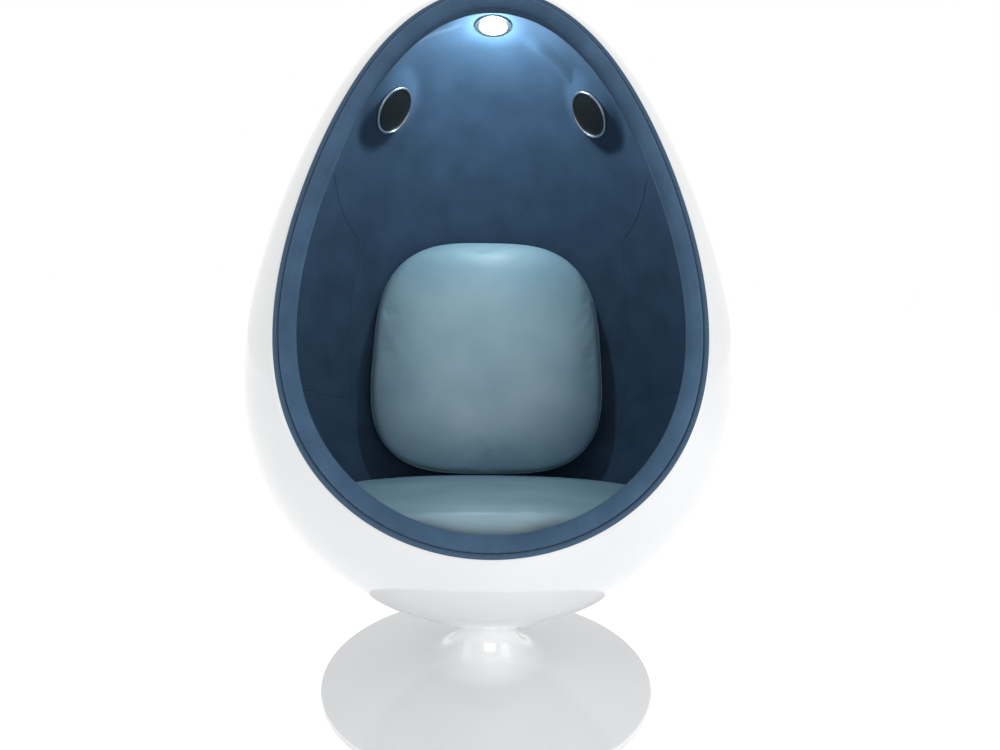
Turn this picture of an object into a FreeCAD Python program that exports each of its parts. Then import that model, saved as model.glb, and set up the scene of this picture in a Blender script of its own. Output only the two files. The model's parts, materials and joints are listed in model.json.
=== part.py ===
"""Pod chair: an egg-shaped shell with a padded, lined cavity on a swivel trumpet base.

Millimetres, +Z up.  The origin is on the floor, on the swivel axis, and the sitter looks along -Y.
"""
import FreeCAD, Part
import math
import os

import Sketcher
from FreeCAD import Placement, Rotation, Vector

doc = FreeCAD.newDocument("pod_chair")
sheet = doc.addObject("Spreadsheet::Sheet", "sizes")

SIZES = {
    # The egg: its widest radius, its length, and four terms that shape its outline
    "egg_radius": 430.0,
    "egg_length": 1118.0,
    "egg_taper": -0.2624,
    "egg_swell": 0.0369,
    "egg_shoulder": 0.1426,
    "egg_crown": -0.0253,
    "egg_lean": 10.8,
    "egg_ground_gap": 156.0,
    # The opening: a plane in front of the egg's axis, tilted back from it
    "opening_forward": 304.5,
    "opening_height": 431.0,
    "opening_tilt": 11.4,
    # Layers from the glossy skin inwards
    "shell_wall": 5.0,
    "lining_depth": 24.0,
    "cover_thickness": 2.0,
    "layer_gap": 0.3,
    # Rim trim, measured in the plane of the opening
    "band_width": 9.0,
    "band_rise": 4.0,
    "roll_width": 23.6,
    "roll_rise": 11.0,
    "trim_gap": 0.6,
    # Base
    "base_radius": 327.0,
    "base_wall": 5.0,
    "base_edge_height": 13.0,
    "base_edge_round": 6.0,
    "base_slope": 9.2,
    "neck_radius": 55.5,
    "neck_top": 138.0,
    "neck_flare": 80.0,
    "pad_inset": 3.0,
    "pad_thickness": 3.0,
    "ballast_gap": 0.8,
    "ballast_thickness": 10.0,
    # Column and bearing
    "tube_radius": 30.0,
    "tube_wall": 4.0,
    "foot_radius": 75.0,
    "foot_thickness": 8.0,
    "foot_ring": 58.0,
    "foot_screw_count": 6.0,
    "foot_screw_radius": 4.0,
    "foot_head_radius": 7.5,
    "foot_head_height": 5.3,
    "head_thickness": 14.0,
    "spigot_length": 29.0,
    "upper_bush_length": 34.0,
    "lower_bush_height": 40.0,
    "lower_bush_length": 20.0,
    "bush_wall": 4.15,
    "press_gap": 0.02,
    "shaft_gap": 0.05,
    "race_thickness": 3.0,
    "race_radius": 23.5,
    "race_seat_depth": 7.0,
    "race_gap": 0.3,
    "ball_radius": 2.5,
    "ball_gap": 0.02,
    "ball_ring": 19.5,
    "ball_count": 12.0,
    "cage_thickness": 2.0,
    "cage_width": 6.0,
    # Spindle
    "shaft_radius": 15.0,
    "shaft_end_radius": 12.0,
    "shaft_end_height": 20.0,
    "flange_radius": 75.0,
    "flange_thickness": 8.0,
    "end_play": 0.5,
    "washer_thickness": 3.0,
    "washer_radius": 24.0,
    "nut_height": 14.0,
    "nut_radius": 20.8,
    "thread_gap": 0.1,
    # Clamping the shell to the spindle
    "spacer_rise": 8.0,
    "clamp_radius": 90.0,
    "clamp_height": 36.0,
    "clamp_ring": 58.0,
    "clamp_bolt_count": 6.0,
    "clamp_bolt_radius": 5.0,
    "clamp_bolt_gap": 0.5,
    "clamp_head_radius": 9.8,
    "clamp_head_height": 6.4,
    "clamp_washer_radius": 11.0,
    "clamp_washer_thickness": 2.0,
    # Seat support inside the shell
    "platform_height": 140.0,
    "platform_thickness": 15.0,
    "ledge_width": 34.0,
    "ledge_height": 24.0,
    "platform_screw_count": 8.0,
    "platform_screw_radius": 2.5,
    "platform_screw_head": 4.5,
    "platform_screw_length": 30.0,
    "platform_screw_inset": 28.0,
    # Cushions
    "cushion_gap": 0.4,
    "seat_gap": 4.0,
    "seat_height": 256.0,
    "seat_dome": 4500.0,
    "seat_front_cut": 19.04,
    "seat_shoulder": 30.0,
    "seat_front_round": 10.0,
    "back_width": 500.0,
    "back_length": 502.0,
    "back_taper": 0.07,
    "back_squareness": 3.3,
    "back_thickness": 134.0,
    "back_edge_power": 2.6,
    "back_crown_power": 1.8,
    "back_crown_turn": 80.0,
    "back_forward": 256.0,
    "back_lean": 0.0,
    # Speakers, as radii and heights in the speaker's own axis
    "speaker_azimuth": 109.0,
    "speaker_drop": 142.0,
    "boss_height": 16.0,
    "boss_low_radius": 64.0,
    "boss_high_radius": 48.5,
    "boss_bore": 36.5,
    "speaker_hole_gap": 4.0,
    "basket_flange": 45.0,
    "basket_wall": 1.2,
    "basket_back": 22.0,
    "basket_depth": 22.0,
    "basket_hole": 12.0,
    "magnet_radius": 22.0,
    "magnet_depth": 9.0,
    "pole_radius": 9.0,
    "coil_gap": 2.0,
    "coil_wall": 0.8,
    "cone_radius": 29.0,
    "cone_gap": 0.3,
    "surround_width": 8.5,
    "surround_thickness": 1.0,
    "bezel_radius": 45.5,
    "bezel_width": 4.2,
    "bezel_ledge": 2.8,
    "bezel_height": 5.5,
    "grille_thickness": 1.0,
    "speaker_screw_count": 4.0,
    "speaker_screw_ring": 41.5,
    "speaker_screw_radius": 1.5,
    "speaker_screw_length": 10.0,
    # Lamp at the top of the cavity
    "lamp_radius": 27.0,
    "lamp_wall": 2.0,
    "lamp_roof": 4.0,
    "lamp_roof_gap": 2.0,
    "lamp_hole_gap": 1.0,
    "lamp_bezel_radius": 34.0,
    "lamp_bezel_thickness": 2.5,
    "lamp_bezel_bevel": 1.0,
    "lamp_lens_step": 0.5,
    "lamp_lens_thickness": 2.0,
    "led_board_radius": 22.0,
    "led_board_thickness": 1.6,
    "led_ring": 13.0,
    "led_count": 6.0,
    "led_side": 5.0,
    "led_thickness": 0.8,
    # Amplifier under the seat, its inlet and its leads
    "amp_width": 150.0,
    "amp_depth": 100.0,
    "amp_height": 40.0,
    "amp_back": 115.0,
    "amp_round": 6.0,
    "amp_wall": 3.0,
    "amp_entry": 3.0,
    "amp_lead_drop": 8.0,
    "amp_post": 6.0,
    "amp_board_lift": 8.0,
    "amp_board_thickness": 1.6,
    "amp_board_gap": 0.5,
    "amp_screw_inset": 10.0,
    "amp_screw_radius": 2.0,
    "amp_screw_reach": 10.0,
    "board_part_edge": 16.0,
    "board_part_front": 20.0,
    "transformer_width": 34.0,
    "transformer_depth": 30.0,
    "transformer_height": 18.0,
    "capacitor_radius": 7.0,
    "capacitor_height": 16.0,
    "capacitor_pitch": 20.0,
    "chip_side": 14.0,
    "chip_height": 3.0,
    "heat_sink_width": 10.0,
    "heat_sink_depth": 60.0,
    "heat_sink_height": 20.0,
    "inlet_azimuth": 165.0,
    "inlet_height": 70.0,
    "inlet_flange": 18.0,
    "inlet_flange_thickness": 3.0,
    "inlet_radius": 11.8,
    "inlet_socket_wall": 3.0,
    "inlet_socket_depth": 12.0,
    "inlet_pin_radius": 1.5,
    "inlet_reach": 20.0,
    "inlet_straight": 25.0,
    "inlet_hole_gap": 0.3,
    "inlet_nut_radius": 17.0,
    "inlet_nut_thickness": 5.0,
    "inlet_nut_gap": 0.8,
    "terminal_drop": 62.0,
    "lead_radius": 2.5,
    "lead_gap": 0.7,
    "lead_slot_width": 9.0,
    "lead_slot_depth": 8.0,
    "notch_width": 12.0,
    "notch_depth": 12.0,
}


class Size:
    """A size that is known both as a number and as an expression on the sheet."""

    def __init__(self, number, text):
        self.number = float(number)
        self.text = text

    def __add__(self, other):
        other = as_size(other)
        return Size(self.number + other.number, f"({self.text} + {other.text})")

    def __sub__(self, other):
        other = as_size(other)
        return Size(self.number - other.number, f"({self.text} - {other.text})")

    def __mul__(self, other):
        other = as_size(other)
        return Size(self.number * other.number, f"({self.text} * {other.text})")

    def __float__(self):
        return self.number


def as_size(value):
    """A plain number becomes a size with the same number as its expression."""
    if isinstance(value, Size):
        return value
    return Size(value, f"{float(value):.9g}")


def fill_sheet():
    """Write every driving dimension into the sheet and hand them back as named sizes."""
    named = {}
    for row, (alias, number) in enumerate(SIZES.items(), start=1):
        sheet.set(f"A{row}", alias)
        sheet.set(f"B{row}", str(number))
        sheet.setAlias(f"B{row}", alias)
        named[alias] = Size(number, f"<<sizes>>.{alias}")
    doc.recompute()
    return named


sheet.Label = "sizes"
S = fill_sheet()
N = {alias: size.number for alias, size in S.items()}
parts = []


def keep(piece):
    """Remember a finished sub-part, so that it is checked and written."""
    parts.append(piece)
    return piece


# Sketches and turned pieces


def new_body(label, placement=None):
    """An empty body with its label and, where it has one, its place."""
    body = doc.addObject("PartDesign::Body", label)
    body.Label = label
    body.AllowCompound = True
    if placement is not None:
        body.Placement = placement
    return body


def new_sketch(body, role, name, height=None):
    """A sketch on one of the body's own origin planes, moved along its normal by a height."""
    plane = [item for item in body.Origin.OriginFeatures if item.Role == role][0]
    sketch = body.newObject("Sketcher::SketchObject", name)
    sketch.AttachmentSupport = [(plane, "")]
    sketch.MapMode = "FlatFace"
    if height is not None:
        sketch.AttachmentOffset = Placement(Vector(0, 0, float(height)), Rotation())
        sketch.setExpression("AttachmentOffset.Base.z", as_size(height).text)
    return sketch


def fix_point(sketch, geometry, point, across, up):
    """Tie a point of the sketch to its origin by two dimensions from the sheet."""
    for kind, size in (("DistanceX", as_size(across)), ("DistanceY", as_size(up))):
        constraint = Sketcher.Constraint(kind, -1, 1, geometry, point, size.number)
        index = sketch.addConstraint(constraint)
        sketch.setExpression(f"Constraints[{index}]", size.text)


def draw_outline(sketch, corners):
    """Draw a closed outline of straight sides through corners given as (across, up)."""
    points = [Vector(float(across), float(up), 0) for across, up in corners]
    count = len(points)
    for side in range(count):
        sketch.addGeometry(Part.LineSegment(points[side], points[(side + 1) % count]), False)
    for side in range(count):
        sketch.addConstraint(Sketcher.Constraint("Coincident", side, 2, (side + 1) % count, 1))
    for side, (across, up) in enumerate(corners):
        fix_point(sketch, side, 1, across, up)


def draw_circle(sketch, across, up, radius):
    """Draw a circle whose centre and radius come from the sheet."""
    centre = Vector(float(across), float(up), 0)
    circle = sketch.addGeometry(Part.Circle(centre, Vector(0, 0, 1), float(radius)), False)
    fix_point(sketch, circle, 3, across, up)
    index = sketch.addConstraint(Sketcher.Constraint("Radius", circle, float(radius)))
    sketch.setExpression(f"Constraints[{index}]", as_size(radius).text)


def draw_hexagon(sketch, across, up, radius):
    """Draw a hexagon about a centre, with one corner pointing across."""
    corners = []
    for corner in range(6):
        turn = math.radians(60 * corner)
        corners.append((as_size(radius) * math.cos(turn) + across,
                        as_size(radius) * math.sin(turn) + up))
    draw_outline(sketch, corners)


def turned(label, corners, placement=None):
    """A turned piece: a closed outline of (radius, height) corners, revolved about the Z axis."""
    body = new_body(label, placement)
    sketch = new_sketch(body, "XZ_Plane", label + "_outline")
    draw_outline(sketch, corners)
    turn = body.newObject("PartDesign::Revolution", label + "_turn")
    turn.Profile = sketch
    turn.ReferenceAxis = (sketch, ["V_Axis"])
    turn.Angle = 360
    sketch.Visibility = False
    body.Tip = turn
    return keep(body)


def ring(label, inner, outer, low, high, placement=None):
    """A turned piece with a plain rectangular section."""
    return turned(label, [(inner, low), (outer, low), (outer, high), (inner, high)], placement)


def repeat(body, features, sketch, count, name):
    """Repeat features around the body's axis and make the pattern the body's tip."""
    pattern = body.newObject("PartDesign::PolarPattern", name)
    pattern.Originals = features
    pattern.Axis = (sketch, ["N_Axis"])
    pattern.Angle = 360
    pattern.setExpression("Occurrences", count.text)
    body.Tip = pattern
    return pattern


def drill(body, name, count, circle_radius, hole_radius, low, high):
    """Drill a circle of round holes down through the body from high to low."""
    sketch = new_sketch(body, "XY_Plane", name + "_sketch", high)
    draw_circle(sketch, circle_radius, 0, hole_radius)
    hole = body.newObject("PartDesign::Pocket", name)
    hole.Profile = sketch
    hole.Length = float(high) - float(low)
    hole.setExpression("Length", (as_size(high) - low).text)
    sketch.Visibility = False
    body.Tip = hole
    doc.recompute()
    repeat(body, [hole], sketch, count, name + "_pattern")


def pad(body, name, sketch, length):
    """Extrude a sketch upwards by a length."""
    feature = body.newObject("PartDesign::Pad", name)
    feature.Profile = sketch
    feature.Length = float(length)
    feature.setExpression("Length", as_size(length).text)
    sketch.Visibility = False
    body.Tip = feature
    return feature


def screws(label, count, circle_radius, shank, head, hexagonal=True, placement=None):
    """A circle of equal screws; shank and head are each (radius, low, high)."""
    body = new_body(label, placement)
    shank_sketch = new_sketch(body, "XY_Plane", label + "_shank_sketch", shank[1])
    draw_circle(shank_sketch, circle_radius, 0, shank[0])
    shank_pad = pad(body, label + "_shank", shank_sketch, as_size(shank[2]) - shank[1])
    head_sketch = new_sketch(body, "XY_Plane", label + "_head_sketch", head[1])
    if hexagonal:
        draw_hexagon(head_sketch, circle_radius, 0, head[0])
    else:
        draw_circle(head_sketch, circle_radius, 0, head[0])
    head_pad = pad(body, label + "_head", head_sketch, as_size(head[2]) - head[1])
    doc.recompute()
    repeat(body, [shank_pad, head_pad], shank_sketch, count, label + "_pattern")
    return keep(body)


def formed(label, shape, placement=None):
    """A piece whose shape comes from the egg's formula or from free curves."""
    piece = doc.addObject("Part::Feature", label)
    piece.Label = label
    piece.Shape = shape
    if placement is not None:
        piece.Placement = placement
    return keep(piece)


def circle_edges(shape, radius, height):
    """The names of the edges that are circles about the axis with this radius and height."""
    names = []
    for index, edge in enumerate(shape.Edges, start=1):
        curve = edge.Curve
        if curve.TypeId != "Part::GeomCircle":
            continue
        if abs(curve.Radius - radius) < 0.01 and abs(curve.Center.z - height) < 0.01:
            names.append(f"Edge{index}")
    return names


def round_circles(body, name, radius, circles):
    """Round the turned edges given as (radius, height) pairs."""
    doc.recompute()
    base = body.Tip
    names = []
    for circle_radius, height in circles:
        names += circle_edges(base.Shape, float(circle_radius), float(height))
    fillet = body.newObject("PartDesign::Fillet", name)
    fillet.Base = (base, names)
    fillet.Radius = float(radius)
    fillet.setExpression("Radius", as_size(radius).text)
    body.Tip = fillet


# The egg: radius is a half ellipse times a cubic-like swelling along the axis


def swelling(along):
    """How much the egg departs from an ellipse, with along running from -1 to 1."""
    return (1 + N["egg_taper"] * along + N["egg_swell"] * along ** 2
            + N["egg_shoulder"] * along ** 3 + N["egg_crown"] * along ** 4)


def swelling_slope(along):
    """The slope of the swelling."""
    return (N["egg_taper"] + 2 * N["egg_swell"] * along
            + 3 * N["egg_shoulder"] * along ** 2 + 4 * N["egg_crown"] * along ** 3)


SCAN_STEPS = 2000
WIDEST = max(math.sin(math.pi * step / SCAN_STEPS) * swelling(-math.cos(math.pi * step / SCAN_STEPS))
             for step in range(SCAN_STEPS + 1))
EGG_SCALE = N["egg_radius"] / WIDEST


def egg_normal(turn):
    """The outward normal of the outline as (radial, axial), at a turn from the bottom pole."""
    along = -math.cos(turn)
    sine = math.sin(turn)
    radial_rate = EGG_SCALE * (math.cos(turn) * swelling(along) + sine * sine * swelling_slope(along))
    axial_rate = N["egg_length"] / 2 * sine
    size = math.hypot(radial_rate, axial_rate)
    return axial_rate / size, -radial_rate / size


def egg_point(turn, depth):
    """The outline's (radius, height) at a turn from the bottom pole, a depth under the skin."""
    along = -math.cos(turn)
    radial, axial = egg_normal(turn)
    radius = EGG_SCALE * math.sin(turn) * swelling(along) - depth * radial
    height = N["egg_length"] * (1 + along) / 2 - depth * axial
    return radius, height


def halve(function, low, high):
    """The place where a rising function passes zero, by halving the interval."""
    for _ in range(60):
        middle = (low + high) / 2
        if function(middle) < 0:
            low = middle
        else:
            high = middle
    return (low + high) / 2


def turn_at(height, depth):
    """The turn from the bottom pole at which the outline reaches a height."""
    return halve(lambda turn: egg_point(turn, depth)[1] - height, 0.0, math.pi)


def radius_at(height, depth):
    """The egg's radius at a height, a depth under the skin."""
    return egg_point(turn_at(height, depth), depth)[0]


def rear_height(turn):
    """How high the rear outline stands once the egg leans back, before it is set on its base."""
    radius, height = egg_point(turn, 0)
    lean = math.radians(N["egg_lean"])
    return height * math.cos(lean) - radius * math.sin(lean)


def rear_slope(turn):
    """The rise of the rear outline over a small step of turn."""
    step = 1e-5
    return rear_height(turn + step) - rear_height(turn - step)


def set_on_base():
    """Where the leaning egg goes, so that its lowest point lies over the swivel axis."""
    lean = math.radians(N["egg_lean"])
    turn = halve(rear_slope, 0.001, math.pi / 2)
    radius, height = egg_point(turn, 0)
    back = -(radius * math.cos(lean) + height * math.sin(lean))
    up = N["egg_ground_gap"] - rear_height(turn)
    return Placement(Vector(0, back, up), Rotation(Vector(1, 0, 0), -N["egg_lean"]))


EGG_PLACE = set_on_base()
MERIDIAN_SPANS = 14


def outline_curve(first, last, depth):
    """The outline between two turns as one smooth curve, square to the normal at both ends."""
    points = []
    for span in range(MERIDIAN_SPANS + 1):
        radius, height = egg_point(first + (last - first) * span / MERIDIAN_SPANS, depth)
        points.append(Vector(abs(radius), 0, height))
    ends = [egg_normal(turn) for turn in (first, last)]
    tangents = [Vector(-axial, 0, radial) for radial, axial in ends]
    curve = Part.BSplineCurve()
    curve.interpolate(Points=points, InitialTangent=tangents[0], FinalTangent=tangents[1])
    return curve.toShape()


def egg_solid(depth):
    """The whole egg a depth under its skin, turned from a lower and an upper curve."""
    belt = turn_at(N["opening_height"], 0)
    low = Vector(0, 0, egg_point(0, depth)[1])
    high = Vector(0, 0, egg_point(math.pi, depth)[1])
    lower = outline_curve(0, belt, depth)
    upper = outline_curve(belt, math.pi, depth)
    face = Part.Face(Part.Wire([lower, upper, Part.makeLine(high, low)]))
    return face.revolve(Vector(0, 0, 0), Vector(0, 0, 1), 360)


def carve(shape, tools):
    """A shape with each tool cut from it in turn."""
    for tool in tools:
        shape = shape.cut(tool)
    return shape


def on_base(shape):
    """A copy of a shape of the egg's frame, moved to where the egg stands."""
    moved = shape.copy()
    moved.Placement = EGG_PLACE.multiply(moved.Placement)
    return moved


def into_egg(shape):
    """A copy of a shape of the base's frame, seen from the egg's frame."""
    moved = shape.copy()
    moved.Placement = EGG_PLACE.inverse().multiply(moved.Placement)
    return moved


SPEAKER_HEIGHT = N["egg_length"] - N["speaker_drop"]
OPENING_PLACE = Placement(Vector(0, -N["opening_forward"], N["opening_height"]),
                          Rotation(Vector(1, 0, 0), -N["opening_tilt"]))
REACH = 2 * N["egg_length"]


def before_opening(forward):
    """Everything in front of the opening's plane moved forward by a distance."""
    block = Part.makeBox(2 * REACH, REACH, 2 * REACH, Vector(-REACH, -REACH - forward, -REACH))
    block.Placement = OPENING_PLACE
    return block


def below(height):
    """Everything under a height of the egg's frame."""
    return Part.makeBox(2 * REACH, 2 * REACH, REACH, Vector(-REACH, -REACH, height - REACH))


def slab(low, high):
    """Everything between two heights of the egg's frame."""
    return Part.makeBox(2 * REACH, 2 * REACH, high - low, Vector(-REACH, -REACH, low))


def around_axis(shape, azimuth):
    """A copy of a shape drawn towards -Y, turned about the egg's axis to an azimuth."""
    moved = shape.copy()
    moved.rotate(Vector(0, 0, 0), Vector(0, 0, 1), azimuth)
    return moved


def skin_place(azimuth, height, depth):
    """A frame on a layer of the egg, with its Z axis pointing into the cavity."""
    turn = turn_at(height, depth)
    radius, height = egg_point(turn, depth)
    radial, axial = egg_normal(turn)
    across = math.radians(azimuth)
    outwards = Vector(math.sin(across), -math.cos(across), 0)
    origin = outwards * radius + Vector(0, 0, height)
    inwards = outwards * -radial + Vector(0, 0, -axial)
    return Placement(origin, Rotation(Vector(0, 0, 1), inwards))


# Leads are tubes of straight runs joined by tangent arcs, each lying in a plane through the axis


def rounded_path(points):
    """Straight runs joined by arcs as large as the shorter of the two runs allows."""
    edges = []
    radii = []
    start = points[0]
    for index in range(1, len(points) - 1):
        corner = points[index]
        back = points[index - 1] - corner
        ahead = points[index + 1] - corner
        bend = math.pi - back.getAngle(ahead)
        room = 0.45 * min(back.Length, ahead.Length)
        radius = room / math.tan(bend / 2)
        back.normalize()
        ahead.normalize()
        first = corner + back * room
        last = corner + ahead * room
        towards = back + ahead
        towards.normalize()
        middle = corner + towards * (radius / math.cos(bend / 2) - radius)
        edges.append(Part.makeLine(start, first))
        edges.append(Part.Arc(first, middle, last).toShape())
        radii.append(radius)
        start = last
    edges.append(Part.makeLine(start, points[-1]))
    return Part.Wire(edges), radii


def lead_shape(name, azimuth, outline):
    """A lead through (radius, height) points of the plane at an azimuth."""
    across = math.radians(azimuth)
    outwards = Vector(math.sin(across), -math.cos(across), 0)
    points = [outwards * radius + Vector(0, 0, height) for radius, height in outline]
    path, radii = rounded_path(points)
    section = Part.Wire([Part.makeCircle(N["lead_radius"], points[0], points[1] - points[0])])
    tube = path.makePipeShell([section], True, False)
    expected = math.pi * N["lead_radius"] ** 2 * path.Length
    print(f"{name}: smallest arc {min(radii):.1f}, volume against section times length "
          f"{tube.Volume / expected:.4f}")
    return tube


LEAD_DEPTH = N["shell_wall"] + N["lead_gap"] + N["lead_radius"]
LEAD_STEP = 60.0


def along_wall(high, low):
    """Points of a lead that lies against the shell's inner wall, from a height down to a height."""
    start = turn_at(high, LEAD_DEPTH)
    finish = turn_at(low, LEAD_DEPTH)
    length = (start - finish) * N["egg_length"] / 2
    count = max(3, round(length / LEAD_STEP))
    return [egg_point(start + (finish - start) * step / count, LEAD_DEPTH) for step in range(count + 1)]


# Base


def make_base():
    """The trumpet, its ballast plate, the column and the bearing."""
    plate_low = S["pad_thickness"]
    plate_high = plate_low + S["ballast_thickness"]
    ring("floor_pad", 0, S["base_radius"] - S["pad_inset"], 0, S["pad_thickness"])
    slope = math.tan(math.radians(N["base_slope"]))
    too_low = plate_high + S["ballast_gap"] - inner_rim_height()
    plate_radius = S["base_radius"] - S["base_wall"] - too_low * (1 / slope)
    plate = ring("ballast_plate", 0, plate_radius, plate_low, plate_high)
    drill(plate, "foot_tapped_holes", S["foot_screw_count"], S["foot_ring"],
          S["foot_screw_radius"] + S["thread_gap"], plate_low + S["pad_thickness"], plate_high)
    make_trumpet()
    make_column(plate_high)


def inner_rim_height():
    """How high the underside of the trumpet's cone starts, inside its upright edge."""
    lean = math.radians(N["base_slope"])
    return S["base_edge_height"] + S["base_wall"] * math.tan(lean) - S["base_wall"] * (1 / math.cos(lean))


def make_trumpet():
    """The glossy base: a low cone that flares up into the neck."""
    slope = math.tan(math.radians(N["base_slope"]))
    low = S["pad_thickness"]
    edge = S["base_edge_height"]
    cone_rise = (S["base_radius"] - S["neck_radius"]) * slope
    inner_neck = S["neck_radius"] - S["base_wall"]
    inner_edge = S["base_radius"] - S["base_wall"]
    outer_corner = (S["neck_radius"], edge + cone_rise)
    inner_corner = (inner_neck, inner_rim_height() + cone_rise)
    rim = (S["base_radius"], edge)
    inner_rim = (inner_edge, inner_rim_height())
    trumpet = turned("base_shell", [
        (inner_neck, S["neck_top"]), inner_corner, inner_rim, (inner_edge, low),
        (S["base_radius"], low), rim, outer_corner, (S["neck_radius"], S["neck_top"])])
    round_circles(trumpet, "neck_outside", S["neck_flare"], [outer_corner])
    round_circles(trumpet, "neck_inside", S["neck_flare"] + S["base_wall"], [inner_corner])
    round_circles(trumpet, "rim_round", S["base_edge_round"], [rim])


def make_column(plate_high):
    """The column with its foot, the bearing head, the bushes and the ball bearing."""
    tube_inner = S["tube_radius"] - S["tube_wall"]
    tube_high = S["neck_top"] - S["head_thickness"]
    foot_high = plate_high + S["foot_thickness"]
    column = turned("column_tube", [
        (tube_inner, plate_high), (S["foot_radius"], plate_high), (S["foot_radius"], foot_high),
        (S["tube_radius"], foot_high), (S["tube_radius"], tube_high), (tube_inner, tube_high)])
    drill(column, "foot_holes", S["foot_screw_count"], S["foot_ring"],
          S["foot_screw_radius"] + S["clamp_bolt_gap"], plate_high, foot_high)
    screws("foot_screws", S["foot_screw_count"], S["foot_ring"],
           (S["foot_screw_radius"], plate_high - S["foot_screw_radius"], foot_high),
           (S["foot_head_radius"], foot_high, foot_high + S["foot_head_height"]))

    bore = S["shaft_radius"] + S["shaft_gap"]
    bush_outer = bore + S["bush_wall"]
    seat = S["neck_top"] - S["race_seat_depth"]
    spigot = tube_inner - S["press_gap"]
    head_outer = S["neck_radius"] - S["base_wall"] - S["race_gap"]
    head_bore = bush_outer + S["press_gap"]
    turned("bearing_head", [
        (head_bore, tube_high - S["spigot_length"]), (spigot, tube_high - S["spigot_length"]),
        (spigot, tube_high), (head_outer, tube_high), (head_outer, S["neck_top"]),
        (S["race_radius"] + S["race_gap"], S["neck_top"]), (S["race_radius"] + S["race_gap"], seat),
        (head_bore, seat)])
    ring("upper_bush", bore, bush_outer, seat - S["upper_bush_length"], seat)
    low = S["lower_bush_height"]
    ring("lower_bush", bore, spigot, low, low + S["lower_bush_length"])

    race_inner = S["shaft_radius"] + S["race_gap"]
    race_high = seat + S["race_thickness"]
    ball_high = race_high + (S["ball_radius"] + S["ball_gap"]) * 2
    ring("thrust_race_lower", race_inner, S["race_radius"], seat, race_high)
    ring("thrust_race_upper", race_inner, S["race_radius"], ball_high, ball_high + S["race_thickness"])
    middle = race_high + S["ball_radius"] + S["ball_gap"]
    cage_low = middle - S["cage_thickness"] * 0.5
    cage = ring("ball_cage", S["ball_ring"] - S["cage_width"] * 0.5, S["ball_ring"] + S["cage_width"] * 0.5,
                cage_low, cage_low + S["cage_thickness"])
    drill(cage, "ball_pockets", S["ball_count"], S["ball_ring"], S["ball_radius"] + S["ball_gap"] * 5,
          cage_low, cage_low + S["cage_thickness"])
    make_balls(middle)
    make_spindle(ball_high + S["race_thickness"])


def make_balls(middle):
    """The bearing's balls, each a half disc turned about its own axis, set round the cage."""
    body = new_body("thrust_balls")
    sketch = new_sketch(body, "XZ_Plane", "ball_outline")
    centre = Vector(N["ball_ring"], float(middle), 0)
    radius = N["ball_radius"]
    half = Part.ArcOfCircle(Part.Circle(centre, Vector(0, 0, 1), radius), -math.pi / 2, math.pi / 2)
    arc = sketch.addGeometry(half, False)
    line = Part.LineSegment(centre + Vector(0, radius, 0), centre - Vector(0, radius, 0))
    chord = sketch.addGeometry(line, False)
    sketch.addConstraint(Sketcher.Constraint("Coincident", arc, 2, chord, 1))
    sketch.addConstraint(Sketcher.Constraint("Coincident", chord, 2, arc, 1))
    sketch.addConstraint(Sketcher.Constraint("PointOnObject", arc, 3, chord))
    sketch.addConstraint(Sketcher.Constraint("Vertical", chord))
    fix_point(sketch, arc, 3, S["ball_ring"], middle)
    index = sketch.addConstraint(Sketcher.Constraint("Radius", arc, radius))
    sketch.setExpression(f"Constraints[{index}]", S["ball_radius"].text)
    ball = body.newObject("PartDesign::Revolution", "ball_turn")
    ball.Profile = sketch
    ball.ReferenceAxis = (sketch, [f"Edge{chord + 1}"])
    ball.Angle = 360
    sketch.Visibility = False
    body.Tip = ball
    doc.recompute()
    pattern = body.newObject("PartDesign::PolarPattern", "ball_pattern")
    pattern.Originals = [ball]
    axis = [item for item in body.Origin.OriginFeatures if item.Role == "Z_Axis"][0]
    pattern.Axis = (axis, [""])
    pattern.Angle = 360
    pattern.setExpression("Occurrences", S["ball_count"].text)
    body.Tip = pattern
    keep(body)


def make_spindle(flange_low):
    """The spindle with its flange, and the nut and washer that keep it in the column."""
    washer_high = S["lower_bush_height"] - S["end_play"]
    washer_low = washer_high - S["washer_thickness"]
    flange_high = flange_low + S["flange_thickness"]
    spindle = turned("spindle", [
        (0, S["shaft_end_height"]), (S["shaft_end_radius"], S["shaft_end_height"]),
        (S["shaft_end_radius"], washer_high), (S["shaft_radius"], washer_high),
        (S["shaft_radius"], flange_low), (S["flange_radius"], flange_low),
        (S["flange_radius"], flange_high), (0, flange_high)])
    drill(spindle, "clamp_tapped_holes", S["clamp_bolt_count"], S["clamp_ring"],
          S["clamp_bolt_radius"] + S["thread_gap"], flange_low, flange_high)
    thread = S["shaft_end_radius"] + S["thread_gap"]
    ring("spindle_washer", thread, S["washer_radius"], washer_low, washer_high)
    nut = new_body("spindle_nut")
    sketch = new_sketch(nut, "XY_Plane", "nut_sketch", washer_low - S["nut_height"])
    draw_hexagon(sketch, 0, 0, S["nut_radius"])
    draw_circle(sketch, 0, 0, thread)
    pad(nut, "nut_pad", sketch, S["nut_height"])
    keep(nut)
    make_clamp(flange_low, flange_high)


def clamp_holes(low, high):
    """A circle of clearance holes for the clamp bolts, along the swivel axis."""
    holes = []
    radius = N["clamp_bolt_radius"] + N["clamp_bolt_gap"]
    for step in range(round(N["clamp_bolt_count"])):
        turn = 2 * math.pi * step / N["clamp_bolt_count"]
        centre = Vector(N["clamp_ring"] * math.cos(turn), N["clamp_ring"] * math.sin(turn), low)
        holes.append(Part.makeCylinder(radius, high - low, centre))
    return holes


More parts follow.
